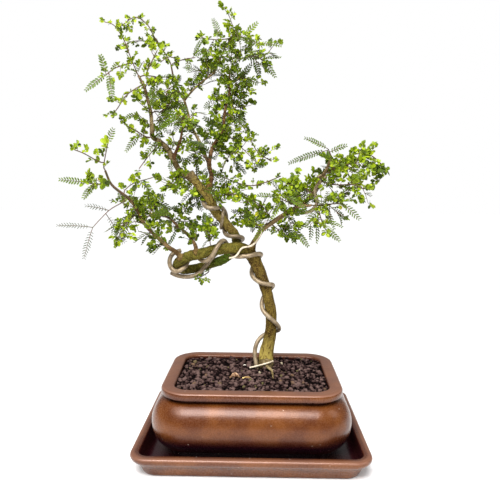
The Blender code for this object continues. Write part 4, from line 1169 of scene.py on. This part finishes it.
def make_pot(surface):
    bottom = TRAY_FLOOR + GAP
    profile = [
        pot_edge(FOOT_INSET + FOOT_RING + 22, bottom + FOOT_RECESS, 0, 0, 0.9),
        pot_edge(FOOT_INSET + FOOT_RING + 1.0, bottom + FOOT_RECESS, 0.8, 0, 0.9),
        pot_edge(FOOT_INSET + FOOT_RING, bottom, 0.7, 0, 0.95),
        pot_edge(FOOT_INSET, bottom, 0.9, 0, 0.95),
        pot_edge(FOOT_INSET, FOOT_TOP - 1.0, 0.8, 0, 1.0),
    ]
    # Painted shade darkens the belly from a little below its middle down to the foot
    for degrees in range(-78, 78, 6):
        profile.append(belly_edge(degrees, deep=clamp((-3 - degrees) / 30)))
    profile += [
        belly_edge(78, 0.35), pot_edge(6.4, LIP_UNDERSIDE - 1.5, 0.8, 0, 0.95),
        pot_edge(5.6, LIP_UNDERSIDE, 0.6, 0, 0.9), pot_edge(0.3, LIP_UNDERSIDE, 1.8, 0.10, 0.35),
        pot_edge(0.0, LIP_TOP - 2.6, 1.6, 0.0, 0.0), pot_edge(1.0, LIP_TOP - 0.7, 1.0, 0.65, 0.0),
        pot_edge(3.0, LIP_TOP, 1.4, 0.45, 0.0),
        pot_edge(OPENING_INSET - 2.2, LIP_TOP, 1.5, 0.35, 0.0),
        pot_edge(OPENING_INSET - 0.2, LIP_TOP - 1.3, 1.0, 0.2, 0.2),
        pot_edge(OPENING_INSET, SOIL_TOP - 1.0, 1.0, 0, 0.8),
        pot_edge(OPENING_INSET, SOIL_TOP - SOIL_EDGE, 1.0, 0, 0.9),
        pot_edge(BELLY_INSET + WALL - BELLY_SWELL, BELLY_MIDDLE, 8.0, 0, 0.9),
        pot_edge(23.0, POT_FLOOR, 3.0, 0, 0.9), pot_edge(45.0, POT_FLOOR, 0, 0, 0.9),
    ]
    thrown_body("glazed_pot", "pot", LIP_LENGTH / 2, LIP_WIDTH / 2, profile, surface)


# Painted shade darkens the tray's inner walls and floor, and a little of its underside
# From the middle of the underside, out over the rim and in to the middle of the floor
TRAY_PROFILE = (
    Edge(40.0, 0.0, 9.0), Edge(12.5, 0.0, 16.0, 0.8, 0.1, 0.3),
    Edge(11.0, 1.0, 16.5, 0.6, 0.05, 0.15), Edge(9.0, 6.0, 17.0, 2.0, 0, 0),
    Edge(6.4, 11.0, 18.0, 1.5, 0, 0.1), Edge(3.6, 13.8, 18.5, 1.0, 0, 0.1),
    Edge(1.0, 16.4, 19.5, 1.2, 0, 0), Edge(0.0, 19.2, 20.0, 1.2, 0.1, 0),
    Edge(0.5, 21.4, 19.5, 1.0, 0.6, 0), Edge(2.2, 22.6, 18.5, 1.2, 0.5, 0),
    Edge(8.0, 22.6, 12.0, 1.6, 0.12, 0.42), Edge(9.6, 21.2, 10.5, 1.0, 0.0, 0.8),
    Edge(11.0, 10.0, 9.5, 3.0, 0, 0.85), Edge(13.0, 5.6, 8.5, 2.0, 0, 0.9),
    Edge(16.5, TRAY_FLOOR, 7.5, 2.0, 0, 0.9), Edge(40.0, TRAY_FLOOR, 6.0, 0, 0, 0.8),
)


def make_tray(surface):
    thrown_body("drip_tray", "tray", TRAY_LENGTH / 2, TRAY_WIDTH / 2, TRAY_PROFILE, surface)


def inside_opening(x, y, margin):
    half_x = LIP_LENGTH / 2 - OPENING_INSET - margin
    half_y = LIP_WIDTH / 2 - OPENING_INSET - margin
    corner = LIP_CORNER - OPENING_INSET
    over_x = max(0.0, abs(x) - (half_x - corner))
    over_y = max(0.0, abs(y) - (half_y - corner))
    return abs(x) < half_x and abs(y) < half_y and math.hypot(over_x, over_y) < corner


def crumb_shapes(chance, count):
    """Rough lumps: cubes cut once, pushed towards a ball and knocked about."""
    shapes = []
    for _ in range(count):
        sheet = bmesh.new()
        bmesh.ops.create_cube(sheet, size=2.0)
        bmesh.ops.subdivide_edges(sheet, edges=sheet.edges, cuts=1, use_grid_fill=True)
        stretch = [chance.uniform(0.75, 1.15) for _ in range(3)]
        for vertex in sheet.verts:
            rounded = vertex.co.normalized() * chance.uniform(0.68, 1.18)
            vertex.co = Vector([rounded[axis] * stretch[axis] for axis in range(3)])
        shapes.append(body_from_sheet(sheet))
    return shapes


def turned_axes(chance, scale):
    """Three axes turned at random, scaled."""
    first = unit(np.array([chance.gauss(0, 1) for _ in range(3)]))
    second = unit(np.cross(first, [chance.gauss(0, 1) for _ in range(3)]))
    return np.array((first, second, np.cross(first, second))) * scale


def painted_lit_tops(crumbs, middles):
    """Paint plain crumbs lighter on top and darker underneath, as painted light and shade."""
    middles = np.repeat(np.array(middles)[:, 2], len(crumbs.points) // len(middles))
    height = crumbs.points[:, 2] - middles
    shaded = np.clip(crumbs.tints + CRUMB_PAINTED_LIGHT * height, 0, PALEST_PLAIN)
    return crumbs._replace(tints=np.where(crumbs.tints > PALEST_PLAIN, crumbs.tints, shaded))


def make_crumbs(surface, standing):
    """Soil crumbs over the whole opening, settled round whatever stands in the soil."""
    chance = random.Random(SEED + 5)
    shapes = crumb_shapes(chance, 8)
    lots = [([], [], []) for _ in shapes]
    near = standing[(standing[:, 2] > SOIL_TOP - 6) & (standing[:, 2] < SOIL_TOP + 4)]

    def drop(x, y, size, lift):
        if not inside_opening(x, y, size * 0.75):
            return
        if np.any(np.hypot(near[:, 0] - x, near[:, 1] - y) < near[:, 3] + size * 0.35):
            return
        ground = 0.9 * noise.noise(Vector((x * 0.06, y * 0.06, 0.4)))
        for flake_x, flake_y in FLAKE_MIDDLES:
            if math.hypot(x - flake_x, (y - flake_y) * 1.4) < FLAKE_REACH:
                ground -= FLAKE_BED
        origins, axes, tints = lots[chance.randrange(len(lots))]
        origins.append((x, y, SOIL_TOP + ground + lift))
        axes.append(turned_axes(chance, size) * (1, 1, 0.85))
        # Painted shadow towards the back, and painted light on crumbs that lie higher
        rear_lip_shadow = PAINTED_BACK_SHADOW * clamp((y - 5) / 35)
        tint = CRUMB_TINT + PAINTED_LIGHT_PER_LIFT * lift - rear_lip_shadow + chance.gauss(0, 0.09)
        tint = clamp(tint, high=PALEST_CRUMB)
        if chance.random() < ODD_CRUMBS:
            tint = chance.uniform(*ODD_TINTS)
        if chance.random() < WHITE_CRUMBS and size < 2.2:
            tint = 1.0
        tints.append(tint)

    rows = int(LIP_WIDTH / CRUMB_SPACING) + 1
    for row in range(-rows // 2, rows // 2 + 1):
        for column in range(-CRUMB_COLUMNS, CRUMB_COLUMNS + 1):
            x = (column + 0.5 * (row % 2)) * CRUMB_SPACING + chance.uniform(-1, 1)
            y = row * CRUMB_SPACING * ROW_SHARE + chance.uniform(-1, 1)
            drop(x, y, *[chance.uniform(*span) for span in BED_CRUMBS])
    for count, sizes, lifts in LOOSE_CRUMBS:
        for _ in range(count):
            x, y = [chance.uniform(-half, half) for half in CRUMB_FIELD]
            drop(x, y, chance.uniform(*sizes), chance.uniform(*lifts))
    bodies = [painted_lit_tops(many(shape, *lot), lot[0]) for shape, lot in zip(shapes, lots) if lot[0]]
    make_piece("soil_crumbs", bodies, [surface], (), 38)


def make_trunk(surface, fine_wood):
    """One skin over the trunk and branches, roughened along the grain."""
    slimmed = [route * (1, 1, 1, SLENDER.get(name, 1.0)) for name, route in fine_wood.items()]
    rough = make_piece("rough_trunk", [tubes(slimmed, 8)], [surface])
    remesh = rough.modifiers.new("skin", "REMESH")
    remesh.mode = "VOXEL"
    remesh.voxel_size = BARK_VOXEL * MM
    mesh = evaluated_mesh(rough)
    sheet = bmesh.new()
    sheet.from_mesh(mesh)
    for _ in range(BARK_SMOOTHINGS):
        bmesh.ops.smooth_vert(sheet, verts=sheet.verts, factor=0.5, use_axis_x=True,
                              use_axis_y=True, use_axis_z=True)
    samples = []
    for number, (name, route) in enumerate(fine_wood.items()):
        tangents = np.gradient(route[:, :3], axis=0)
        for row, tangent, travelled in zip(route, tangents, distances_along(route)):
            samples.append((
                row, unit(tangent), travelled + number * WOOD_SHIFT, BLUSH.get(name, 0)))
    tree = kdtree.KDTree(len(samples))
    for number, (row, *_) in enumerate(samples):
        tree.insert(Vector(row[:3]) * MM, number)
    tree.balance()
    grain = sheet.verts.layers.float_vector.new("along")
    girth, foot, moss, blush = [
        sheet.verts.layers.float.new(name) for name in ("girth", "foot", "moss", "blush")]
    sheet.normal_update()
    moves = []
    for vertex in sheet.verts:
        _, number, _ = tree.find(vertex.co)
        row, tangent, travelled, vertex[blush] = samples[number]
        out = np.array(vertex.co) / MM - row[:3]
        side = out - tangent * np.dot(out, tangent)
        travelled += np.dot(out, tangent)
        place = Vector(side + tangent * GRAIN_STRETCH * travelled + (0, 0, 0.02 * travelled))
        vertex[grain] = place * MM
        thickness = float(row[3])
        height = vertex.co.z / MM
        vertex[girth] = min(1.0, thickness / FULL_GIRTH)
        vertex[foot] = foot_share(row, thickness, height)
        vertex[moss] = moss_share(row, thickness, height, vertex.co.x / MM)
        ridges = noise.noise(place * 0.55) * 0.6 + noise.noise(place * 1.3) * 0.35
        knots = max(0.0, noise.noise(place * 0.16 + Vector((7, 3, 1)))) * 1.2
        moves.append(min(1.0, thickness / 6.0) * (ridges * BARK_RIDGE + knots * BARK_KNOT))
    for vertex, move in zip(sheet.verts, moves):
        vertex.co += vertex.normal * move * MM
    sheet.to_mesh(mesh)
    sheet.free()
    mesh.materials.clear()
    finish_piece("bark", mesh, [surface], ("trunk",), 70)


def foot_share(row, thickness, height):
    """How yellow the bark is: at the trunk's foot, on the surface root and on the upper trunk."""
    above, thicker, share = UPPER_YELLOW
    if thickness > thicker and height > above:
        return share
    if 0 < row[0] < 40 and height < ROOT_TOP and thickness < TRUNK_THICKNESS:
        return 1.0
    if thickness > TRUNK_THICKNESS:
        return clamp((YELLOW_FOOT[0] - height) / YELLOW_FOOT[1])
    return 0.0


def moss_share(row, thickness, height, x):
    """How mossy the bark is: most in the low bend's hollow, a little on the low bend itself."""
    middle_x, middle_z, reach = MOSS
    share = 0.0
    if row[1] > HOLLOW_FRONT:
        share = max(0.0, 1 - math.hypot(x - middle_x, (height - middle_z) * 1.2) / reach)
    if thickness > 4.5 and BEND_HEIGHTS[0] < height < BEND_HEIGHTS[1]:
        share += BEND_MOSS * clamp(-row[0] / 20)
    return share


def leaflet_shape(width, fold, curl, notch=0.0, sides=8):
    """A leaflet one unit long from its hinge: a ball pressed thin, folded on its midrib."""
    sheet = bmesh.new()
    bmesh.ops.create_uvsphere(sheet, u_segments=sides, v_segments=2, radius=0.5)
    for vertex in sheet.verts:
        x, y = vertex.co.x + 0.5, vertex.co.y
        if notch and x > 0.9:
            x -= notch
        y *= width * (0.62 + 0.38 * min(1.0, x * 1.6))
        vertex.co = (x, y, vertex.co.z * LEAFLET_THICKNESS + fold * abs(y) - curl * x * x)
    bmesh.ops.recalc_face_normals(sheet, faces=sheet.faces)
    return body_from_sheet(sheet)


# Young leaves as clusters of leaflets: each one's turn, its share of the leaf's size, its tilt and
# how far along the leaf it sits
FULL_FAN = (
    (-78, 0.72, 14, 0.0), (76, 0.72, 18, 0.0), (-56, 0.80, -12, 0.3), (58, 0.80, 12, 0.3),
    (-30, 0.80, 22, 0.6), (32, 0.78, -14, 0.6), (2, 0.80, 6, 0.8),
)
FAN_PLANS = (
    ((-64, 0.80, 24, 0.1), (60, 0.85, 18, 0.0), (-24, 0.85, 8, 0.4), (34, 0.75, 34, 0.5),
     (6, 0.8, -14, 0.7)),
    ((-84, 0.75, 6, 0.0), (80, 0.70, 22, 0.0), (-52, 0.85, 30, 0.2), (48, 0.85, 4, 0.3),
     (-14, 0.80, -10, 0.6), (18, 0.80, 26, 0.7)),
    ((-70, 0.70, 34, 0.0), (66, 0.75, -8, 0.0), (-40, 0.75, 0, 0.4), (42, 0.75, 30, 0.4),
     (-22, 0.70, 24, 0.8), (24, 0.70, -6, 0.8), (0, 0.65, 12, 1.1)),
    ((-50, 0.95, 34, 0.0), (46, 0.95, 30, 0.1), (-6, 0.80, 4, 0.4), (14, 0.70, -28, 0.2)),
    ((-96, 0.65, 10, 0.0), (92, 0.65, 4, 0.0), (-62, 0.80, -10, 0.2), (60, 0.80, 26, 0.2),
     (-30, 0.85, 16, 0.5), (28, 0.80, -14, 0.5), (0, 0.80, 30, 0.7)),
    FULL_FAN,
)


class Foliage:
    """Collects the stems and leaflets of one spray until they are made into one piece."""

    def __init__(self, lobes, blades):
        self.shapes = {"lobe": lobes, "blade": blades}
        self.stems = []
        self.lots = {}

    def leaflet(self, kind, number, origin, forward, normal, length, tint):
        origins, axes, tints = self.lots.setdefault((kind, number), ([], [], []))
        origins.append(origin)
        axes.append(np.array((forward, np.cross(normal, forward), normal)) * length)
        tints.append(tint)

    def fan(self, leaf, chance, tint, plan=None):
        """A young leaf: a hair-thin stalk and a cluster of folded rounded leaflets."""
        side = np.cross(leaf.normal, leaf.forward)
        hinge = leaf.start + leaf.forward * leaf.stalk
        middle = (leaf.start + hinge) / 2 + leaf.normal * leaf.stalk * 0.05
        self.stems.append(np.array([(*leaf.start, 0.25), (*middle, 0.21), (*hinge, 0.19)]))
        for degrees, share, tilt, ahead in plan or chance.choice(FAN_PLANS):
            angle = math.radians(degrees + chance.uniform(-FAN_TURN, FAN_TURN))
            lift = math.radians(tilt + chance.uniform(*FAN_TILT))
            forward = leaf.forward * math.cos(angle) + side * math.sin(angle)
            raised = forward * math.cos(lift) + leaf.normal * math.sin(lift)
            normal = unit(np.cross(raised, np.cross(leaf.normal, forward)))
            roll = math.radians(chance.uniform(-FAN_ROLL, FAN_ROLL))
            normal = normal * math.cos(roll) + np.cross(normal, raised) * math.sin(roll)
            shade = tint + chance.gauss(0, LEAFLET_SPREAD) - (UNDER_SHADE if tilt < 0 else 0)
            shade = min(0.85, shade)
            if chance.random() < DRY_SHARE:
                shade = chance.uniform(*DRY_TINTS)
            number = chance.randrange(len(self.shapes["lobe"]))
            origin = hinge + leaf.forward * leaf.size * ahead * 0.7
            length = leaf.size * share * chance.uniform(*FAN_LENGTHS)
            self.leaflet("lobe", number, origin, raised, normal, length, max(0.0, shade))

    def plume(self, leaf, chance, tint, closed=0.0):
        """A feathery leaf: narrow leaflets in pairs along an arched rib."""
        side = np.cross(leaf.normal, leaf.forward)

        def on_rib(share):
            arch = leaf.length * 0.16 * share * (1 - share)
            return leaf.start + leaf.forward * leaf.length * share + leaf.normal * arch

        self.stems.append(np.array([
            (*on_rib(share), 0.38 - 0.16 * share) for share in np.linspace(0, 0.98, 7)]))
        pairs = max(6, round(leaf.length * 0.84 / LEAFLET_PAIR_PITCH))
        blade = chance.randrange(len(self.shapes["blade"]))
        for pair in range(pairs):
            share = 0.15 + 0.83 * pair / (pairs - 1)
            part = (pair + 0.5) / pairs
            reach = leaf.size * (0.66 + 0.42 * math.sin(math.pi * min(1.0, part * 1.1)))
            for sign in (-1, 1):
                angle = math.radians(sign * (66 - 22 * part - 34 * closed + chance.uniform(-5, 5)))
                forward = leaf.forward * math.cos(angle) + side * math.sin(angle)
                lift = math.radians(10 + 38 * closed + chance.uniform(-9, 9))
                raised = forward * math.cos(lift) + leaf.normal * math.sin(lift)
                normal = unit(np.cross(raised, np.cross(leaf.normal, forward)))
                shade = clamp(tint + chance.uniform(-0.08, 0.08), high=0.92)
                self.leaflet("blade", blade, on_rib(share), raised, normal, reach, shade)

    def bodies(self):
        made = [tubes(self.stems, 2, finish=1)]
        for (kind, number), lot in self.lots.items():
            made.append(many(self.shapes[kind][number], *lot))
        return made


# Bark of the upper trunk, between two heights, that no grown leaf covers at the front
OPEN_HEIGHTS = (226, 297)
OPEN_MARGIN = 2.5
TRUNK_ROUTE = smooth_route(WOOD["trunk"], 3.0)
OPEN_BARK = TRUNK_ROUTE[
    (TRUNK_ROUTE[:, 2] > OPEN_HEIGHTS[0]) & (TRUNK_ROUTE[:, 2] < OPEN_HEIGHTS[1])]


def leaf_tint(place, chance, plume):
    """Yellow-green with painted light at the front and painted shade towards the back, lighter high
    up, and darkest on plumes.
    """
    tint = FRONT_TINT - PAINTED_SHADE_PER_DEPTH * place[1] + chance.gauss(0, 0.08)
    tint += 0.10 * clamp((place[2] - 380) / 80)
    return clamp(tint - PLUME_SHADE if plume else tint, 0.04, 0.84)


def hides_bark(place):
    """Whether a leaf here would stand in front of the bark that stays in view."""
    gaps = np.hypot(OPEN_BARK[:, 0] - place[0], OPEN_BARK[:, 2] - place[2]) - OPEN_BARK[:, 3]
    return gaps.min() < OPEN_MARGIN and place[1] < OPEN_BARK[np.argmin(gaps), 1]


def grow_leaf(foliage, start, heading, chance, solid, habit, last):
    """Add one more leaf at a place on a shoot, where it is clear of the wood and the wires."""
    for _ in range(GROWN_TRIES):
        sideways = across(heading, jitter(chance))
        feathery = chance.random() < habit.feathery
        ahead, aside = TIP_LEAN if last and not feathery else SIDE_LEAN
        upward = np.array((0.0, 0.0, PLUME_SAG if feathery else FAN_RISE))
        forward = unit(heading * ahead + sideways * aside + upward)
        normal = across(forward, np.array(LEAF_FACE) + jitter(chance, LEAF_FACE_SPREAD))
        if feathery:
            length = chance.uniform(*GROWN_PLUMES)
            width = chance.uniform(*GROWN_PLUME_WIDTHS)
            leaf = Leaf("plume", start, forward, normal, length, width, 0.0)
        else:
            size = chance.uniform(*GROWN_FANS) * habit.scale
            stalk = chance.uniform(*GROWN_STALKS) * habit.scale
            leaf = Leaf("fan", start, forward, normal, stalk + size, size, stalk)
        tip = start + forward * leaf.length * 0.9
        middle = start + forward * leaf.length * 0.6
        if (near_any(tip, 1.2, solid) or near_any(middle, 1.0, solid)
                or hides_bark(tip) or hides_bark(middle)):
            continue
        tint = leaf_tint(tip, chance, feathery)
        if feathery:
            foliage.plume(leaf, chance, tint, chance.uniform(0, CLOSED_MOST))
        else:
            foliage.fan(leaf, chance, tint)
        return


def grow_along(foliage, route, chance, solid, habit):
    """Extra leaves along a shoot, and short side shoots with leaves of their own."""
    length = distances_along(route)[-1]

    def heading_at(distance):
        return unit(point_on(route, distance + 2) - point_on(route, distance - 2))

    distance = FIRST_LEAF
    while distance < length:
        grow_leaf(foliage, point_on(route, distance), heading_at(distance), chance, solid, habit,
                  distance > length - habit.pitch)
        distance += habit.pitch * chance.uniform(*UNEVEN)
    distance = FIRST_SHOOT
    while habit.shoots and distance < length:
        start, heading = point_on(route, distance), heading_at(distance)
        distance += habit.shoots * chance.uniform(*UNEVEN)
        for _ in range(SHOOT_TRIES):
            sideways = across(heading, jitter(chance))
            aim = unit(heading * SHOOT_LEAN + sideways + (0.0, 0.0, habit.rise))
            reach = chance.uniform(*SHOOT_LENGTHS)
            end = start + aim * reach + np.array((0, 0, SHOOT_BEND * habit.rise * reach))
            bend = start + aim * reach * 0.5 + jitter(chance)
            if not (near_any(end, 2.0, solid) or near_any(bend, 1.5, solid)):
                break
        else:
            continue
        shoot = smooth_route(np.column_stack(((start, bend, end), SHOOT_RADII)), 3)
        foliage.stems.append(shoot)
        travelled = distances_along(shoot)[-1]
        steps = max(2, round(travelled / SHOOT_LEAF_PITCH))
        for step in range(1, steps + 1):
            grow_leaf(foliage, point_on(shoot, travelled * step / steps), aim, chance, solid, habit,
                      step == steps)


def rooted(route, wood_points):
    """A twig drawn on to the middle of the wood where it starts close to it."""
    gaps = np.linalg.norm(wood_points[:, :3] - route[0, :3], axis=1) - wood_points[:, 3]
    nearest = wood_points[np.argmin(gaps)]
    if gaps.min() > 2.5:
        return route
    return np.vstack([(*nearest[:3], route[0, 3]), route])


def late_plumes(spray, twigs, leaves):
    """Feathery leaves that had no room among the solids, where their finer leaflets do have it."""
    placed = [leaf.start + leaf.forward * leaf.length for leaf in leaves if leaf.kind == "plume"]
    for twig_number, share, tip in spray.plumes:
        if all(np.linalg.norm(end - tip) >= PLACED_WITHIN for end in placed):
            twig = twigs[twig_number]
            start = point_on(twig, share * distances_along(twig)[-1])
            yield plume_along(start, tip - start, PLUME_FACE)


def make_leaves(surfaces, twigs, leaves, fine_wood, solid):
    chance = random.Random(SEED + 9)
    late_chance = random.Random(SEED + 11)
    lobes = [leaflet_shape(0.78, 0.35, 0.18), leaflet_shape(0.64, 0.70, 0.10),
             leaflet_shape(0.70, 0.15, 0.28), leaflet_shape(0.88, 0.50, 0.05, 0.14)]
    comb, *blades = [leaflet_shape(width, 0.4, 0.15, sides=6) for width in (0.19, 0.36, 0.44, 0.52)]
    wood_points = np.vstack(list(fine_wood.values()))
    for spray in SPRAYS:
        sparse = spray.name == "left_plumes"
        foliage = Foliage(lobes, [comb] if sparse else blades)
        for route in twigs[spray.name]:
            fine = smooth_route(route, 1.5)
            fine[:, 3] *= STEM_SHARE
            foliage.stems.append(rooted(fine, wood_points))
        for leaf in leaves[spray.name]:
            tint = leaf_tint(leaf.start, chance, leaf.kind == "plume")
            if sparse:
                tint -= DARK_COMB_SHADE
            if leaf.kind == "fan":
                foliage.fan(leaf, chance, tint, FULL_FAN)
            else:
                foliage.plume(leaf, chance, tint)
        for leaf in late_plumes(spray, twigs[spray.name], leaves[spray.name]):
            tint = leaf_tint(leaf.start, late_chance, True)
            foliage.plume(leaf, late_chance, tint - (DARK_COMB_SHADE if sparse else LATE_SHADE))
        if spray.habit.pitch:
            for route in twigs[spray.name]:
                grow_along(foliage, route, chance, solid, spray.habit)
        make_piece("leaves_" + spray.name, foliage.bodies(), surfaces,
                   ("spray_" + spray.name,), 42)
    foliage = Foliage(lobes, blades)
    for name, (first, last, pitch, shoots) in LEAFY_WOOD.items():
        route = fine_wood[name]
        along = distances_along(route)
        part = route[(along >= first * along[-1]) & (along <= last * along[-1])]
        habit = Habit(pitch, shoots, BRANCH_FEATHERY)
        grow_along(foliage, part, chance, solid_without(solid, part), habit)
        foliage.stems.append(route[along >= STEM_TIP * along[-1]])
    make_piece("leaves_on_branches", foliage.bodies(), surfaces, (), 42)


def solid_without(solid, route):
    """The wood and wires apart from the stretch that leaves are growing from."""
    keep = np.ones(len(solid), dtype=bool)
    for row in route:
        keep &= np.linalg.norm(solid[:, :3] - row[:3], axis=1) > 4.0
    return solid[keep]


def make_flake(name, start, heading, length, width, rise, curl, surface):
    """A curled dry scrap lying on the soil."""
    sheet = bmesh.new()
    bmesh.ops.create_grid(sheet, x_segments=18, y_segments=8, size=0.5)
    angle = math.radians(heading)
    for vertex in sheet.verts:
        x, y = vertex.co.x + 0.5, vertex.co.y
        spread = math.sin(math.pi * clamp(x, 0.10, 0.96)) ** 0.6
        ripple = 0.45 * noise.noise(Vector((x * 7, y * 5, width)))
        roll = 2.2 * y * curl
        flat_x = x * length
        flat_y = width * spread * math.sin(roll) / max(0.1, 2.2 * curl) + ripple
        height = rise * math.sin(math.pi * x) + width * spread * 0.5 * (1 - math.cos(roll)) + ripple
        vertex.co = Vector((
            start[0] + flat_x * math.cos(angle) - flat_y * math.sin(angle),
            start[1] + flat_x * math.sin(angle) + flat_y * math.cos(angle),
            SOIL_TOP + 0.9 + height))
    bmesh.ops.solidify(sheet, geom=sheet.faces, thickness=0.4)
    bmesh.ops.recalc_face_normals(sheet, faces=sheet.faces)
    make_piece(name + "_scrap", [body_from_sheet(sheet)], [surface], (name,), 60)


def make_grit(surface):
    sheet = bmesh.new()
    bmesh.ops.create_icosphere(sheet, subdivisions=3, radius=1.0)
    for vertex in sheet.verts:
        swell = 1 + 0.28 * noise.noise(vertex.co * 1.6) + 0.08 * noise.noise(vertex.co * 5)
        place = Vector((vertex.co.x * 1.9, vertex.co.y * 1.5, vertex.co.z * 1.35)) * swell
        vertex.co = place + Vector((GRIT_PLACE[0], GRIT_PLACE[1], SOIL_TOP + 1.4))
    make_piece("grit_stone", [body_from_sheet(sheet)], [surface], ("grit",))


def make_wires(pale, taupe, wires):
    for name, route in wires.items():
        fine = smooth_route(route, 1.2)
        for _ in range(WIRE_EASING):
            fine[1:-1, :3] = (fine[:-2, :3] + fine[1:-1, :3] * 2 + fine[2:, :3]) / 4
        surface = pale if name in ("pale_wire", "base_wire") else taupe
        make_piece(name + "_round", [tubes([fine], 8)], [surface], (name,), 60)


def stage_material():
    """White paper that takes the plant's shadow close by and glows white further off."""
    finish = Finish("pale_floor", Roughness=0.9, Emission_Strength=1.0)
    middle = {0: finish.place()}
    away = finish.node("ShaderNodeVectorMath", {"operation": "LENGTH"}, middle, "Value")
    far = away.between(0.30, 0.80)
    finish.feed(finish.shader.inputs["Emission Color"],
                finish.blend(far, (0.05, 0.05, 0.05), (1.0, 1.0, 1.0)))
    paper = finish.blend(finish.grain(900, 1.0).between(0.3, 0.7), (0.90, 0.90, 0.90),
                         (0.93, 0.93, 0.93))
    return finish.wear(finish.blend(far, paper, (0.0, 0.0, 0.0)))


def set_stage():
    sheet = bmesh.new()
    bmesh.ops.create_grid(sheet, x_segments=1, y_segments=1, size=6.0)
    mesh = mesh_from_sheet("floor", sheet)
    mesh.materials.append(stage_material())
    add_to_scene("floor", mesh)
    world = bpy.data.worlds.new("studio")
    world.use_nodes = True
    nodes, links = world.node_tree.nodes, world.node_tree.links
    nodes["Background"].inputs["Color"].default_value = WHITE
    nodes["Background"].inputs["Strength"].default_value = ROOM_LIGHT
    backdrop = nodes.new("ShaderNodeBackground")
    seen = nodes.new("ShaderNodeLightPath")
    either = nodes.new("ShaderNodeMixShader")
    links.new(seen.outputs["Is Camera Ray"], either.inputs[0])
    links.new(nodes["Background"].outputs[0], either.inputs[1])
    links.new(backdrop.outputs[0], either.inputs[2])
    links.new(either.outputs[0], nodes["World Output"].inputs["Surface"])
    backdrop.inputs["Color"].default_value = WHITE
    bpy.context.scene.world = world
    bpy.context.scene.view_settings.view_transform = "Standard"
    sky = bpy.data.lights.new("high_window", "SUN")
    sky.energy = WINDOW_LIGHT
    sky.angle = math.radians(50)
    window = add_to_scene("high_window", sky)
    window.rotation_euler = (math.radians(24), math.radians(-20), 0)
    for name, place, target, size, power in LIGHTS:
        light = bpy.data.lights.new(name, "AREA")
        light.shape = "RECTANGLE"
        light.size, light.size_y = size
        light.energy = power
        lamp = add_to_scene(name, light)
        lamp.location = place
        aim = Vector(target) - Vector(place)
        lamp.rotation_euler = aim.to_track_quat("-Z", "Y").to_euler()


def set_camera():
    """The photograph's view: at half the tree's height, tipped down a little and nearly level."""
    pitch, yaw, roll = (math.radians(angle) for angle in CAMERA_TURNS)
    ahead = Vector((math.sin(yaw) * math.cos(pitch), math.cos(yaw) * math.cos(pitch),
                    -math.sin(pitch)))
    level = Vector((math.cos(yaw), -math.sin(yaw), 0))
    above = level.cross(ahead)
    right = level * math.cos(roll) + above * math.sin(roll)
    up = above * math.cos(roll) - level * math.sin(roll)
    turn = Matrix((right, up, -ahead)).transposed().to_4x4()
    turn.translation = Vector(CAMERA_PLACE) * MM
    lens = bpy.data.cameras.new("camera")
    lens.sensor_width = 36.0
    lens.lens = CAMERA_LENS
    lens.clip_start = 0.01
    camera = add_to_scene("camera", lens)
    camera.matrix_world = turn
    bpy.context.scene.camera = camera


def main():
    set_camera()
    set_stage()
    fine_wood = {name: smooth_route(route, FINE_STEP) for name, route in WOOD.items()}
    wires = settled_wires(fine_wood)
    fine_wires = [smooth_route(route, FINE_STEP) for route in wires.values()]
    solid = np.vstack(list(fine_wood.values()) + fine_wires)
    twigs = make_twigs(fine_wood, solid)
    leaves = lay_out_leaves(twigs, solid)

    glaze = glaze_finish()
    make_tray(glaze)
    make_pot(glaze)
    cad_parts["soil"].material_slots[0].material = soil_finish()
    make_crumbs(crumb_finish(), solid)
    make_flake("husk", (-24.5, -16.5), 4, 11.5, 7.6, 1.6, 1.5,
               litter_finish("dry_husk", (0.20, 0.085, 0.04), (0.74, 0.50, 0.30), 2.4))
    make_flake("chip", (-11.0, -16.0), 10, 10.0, 3.2, 0.7, 0.6,
               litter_finish("yellow_chip", (0.34, 0.20, 0.06), (0.66, 0.50, 0.21), 1.8))
    make_grit(litter_finish("pale_grit", (0.52, 0.46, 0.38), (0.80, 0.76, 0.68), 0.9))
    make_trunk(bark_finish(), fine_wood)
    make_wires(
        wire_finish("pale_wire_skin", (0.62, 0.54, 0.42), (0.44, 0.36, 0.25), 0.25),
        wire_finish("taupe_wire_skin", (0.32, 0.245, 0.152), (0.20, 0.145, 0.085), 0.35), wires)
    make_leaves([leaf_finish(), shoot_finish()], twigs, leaves, fine_wood, solid)


main()
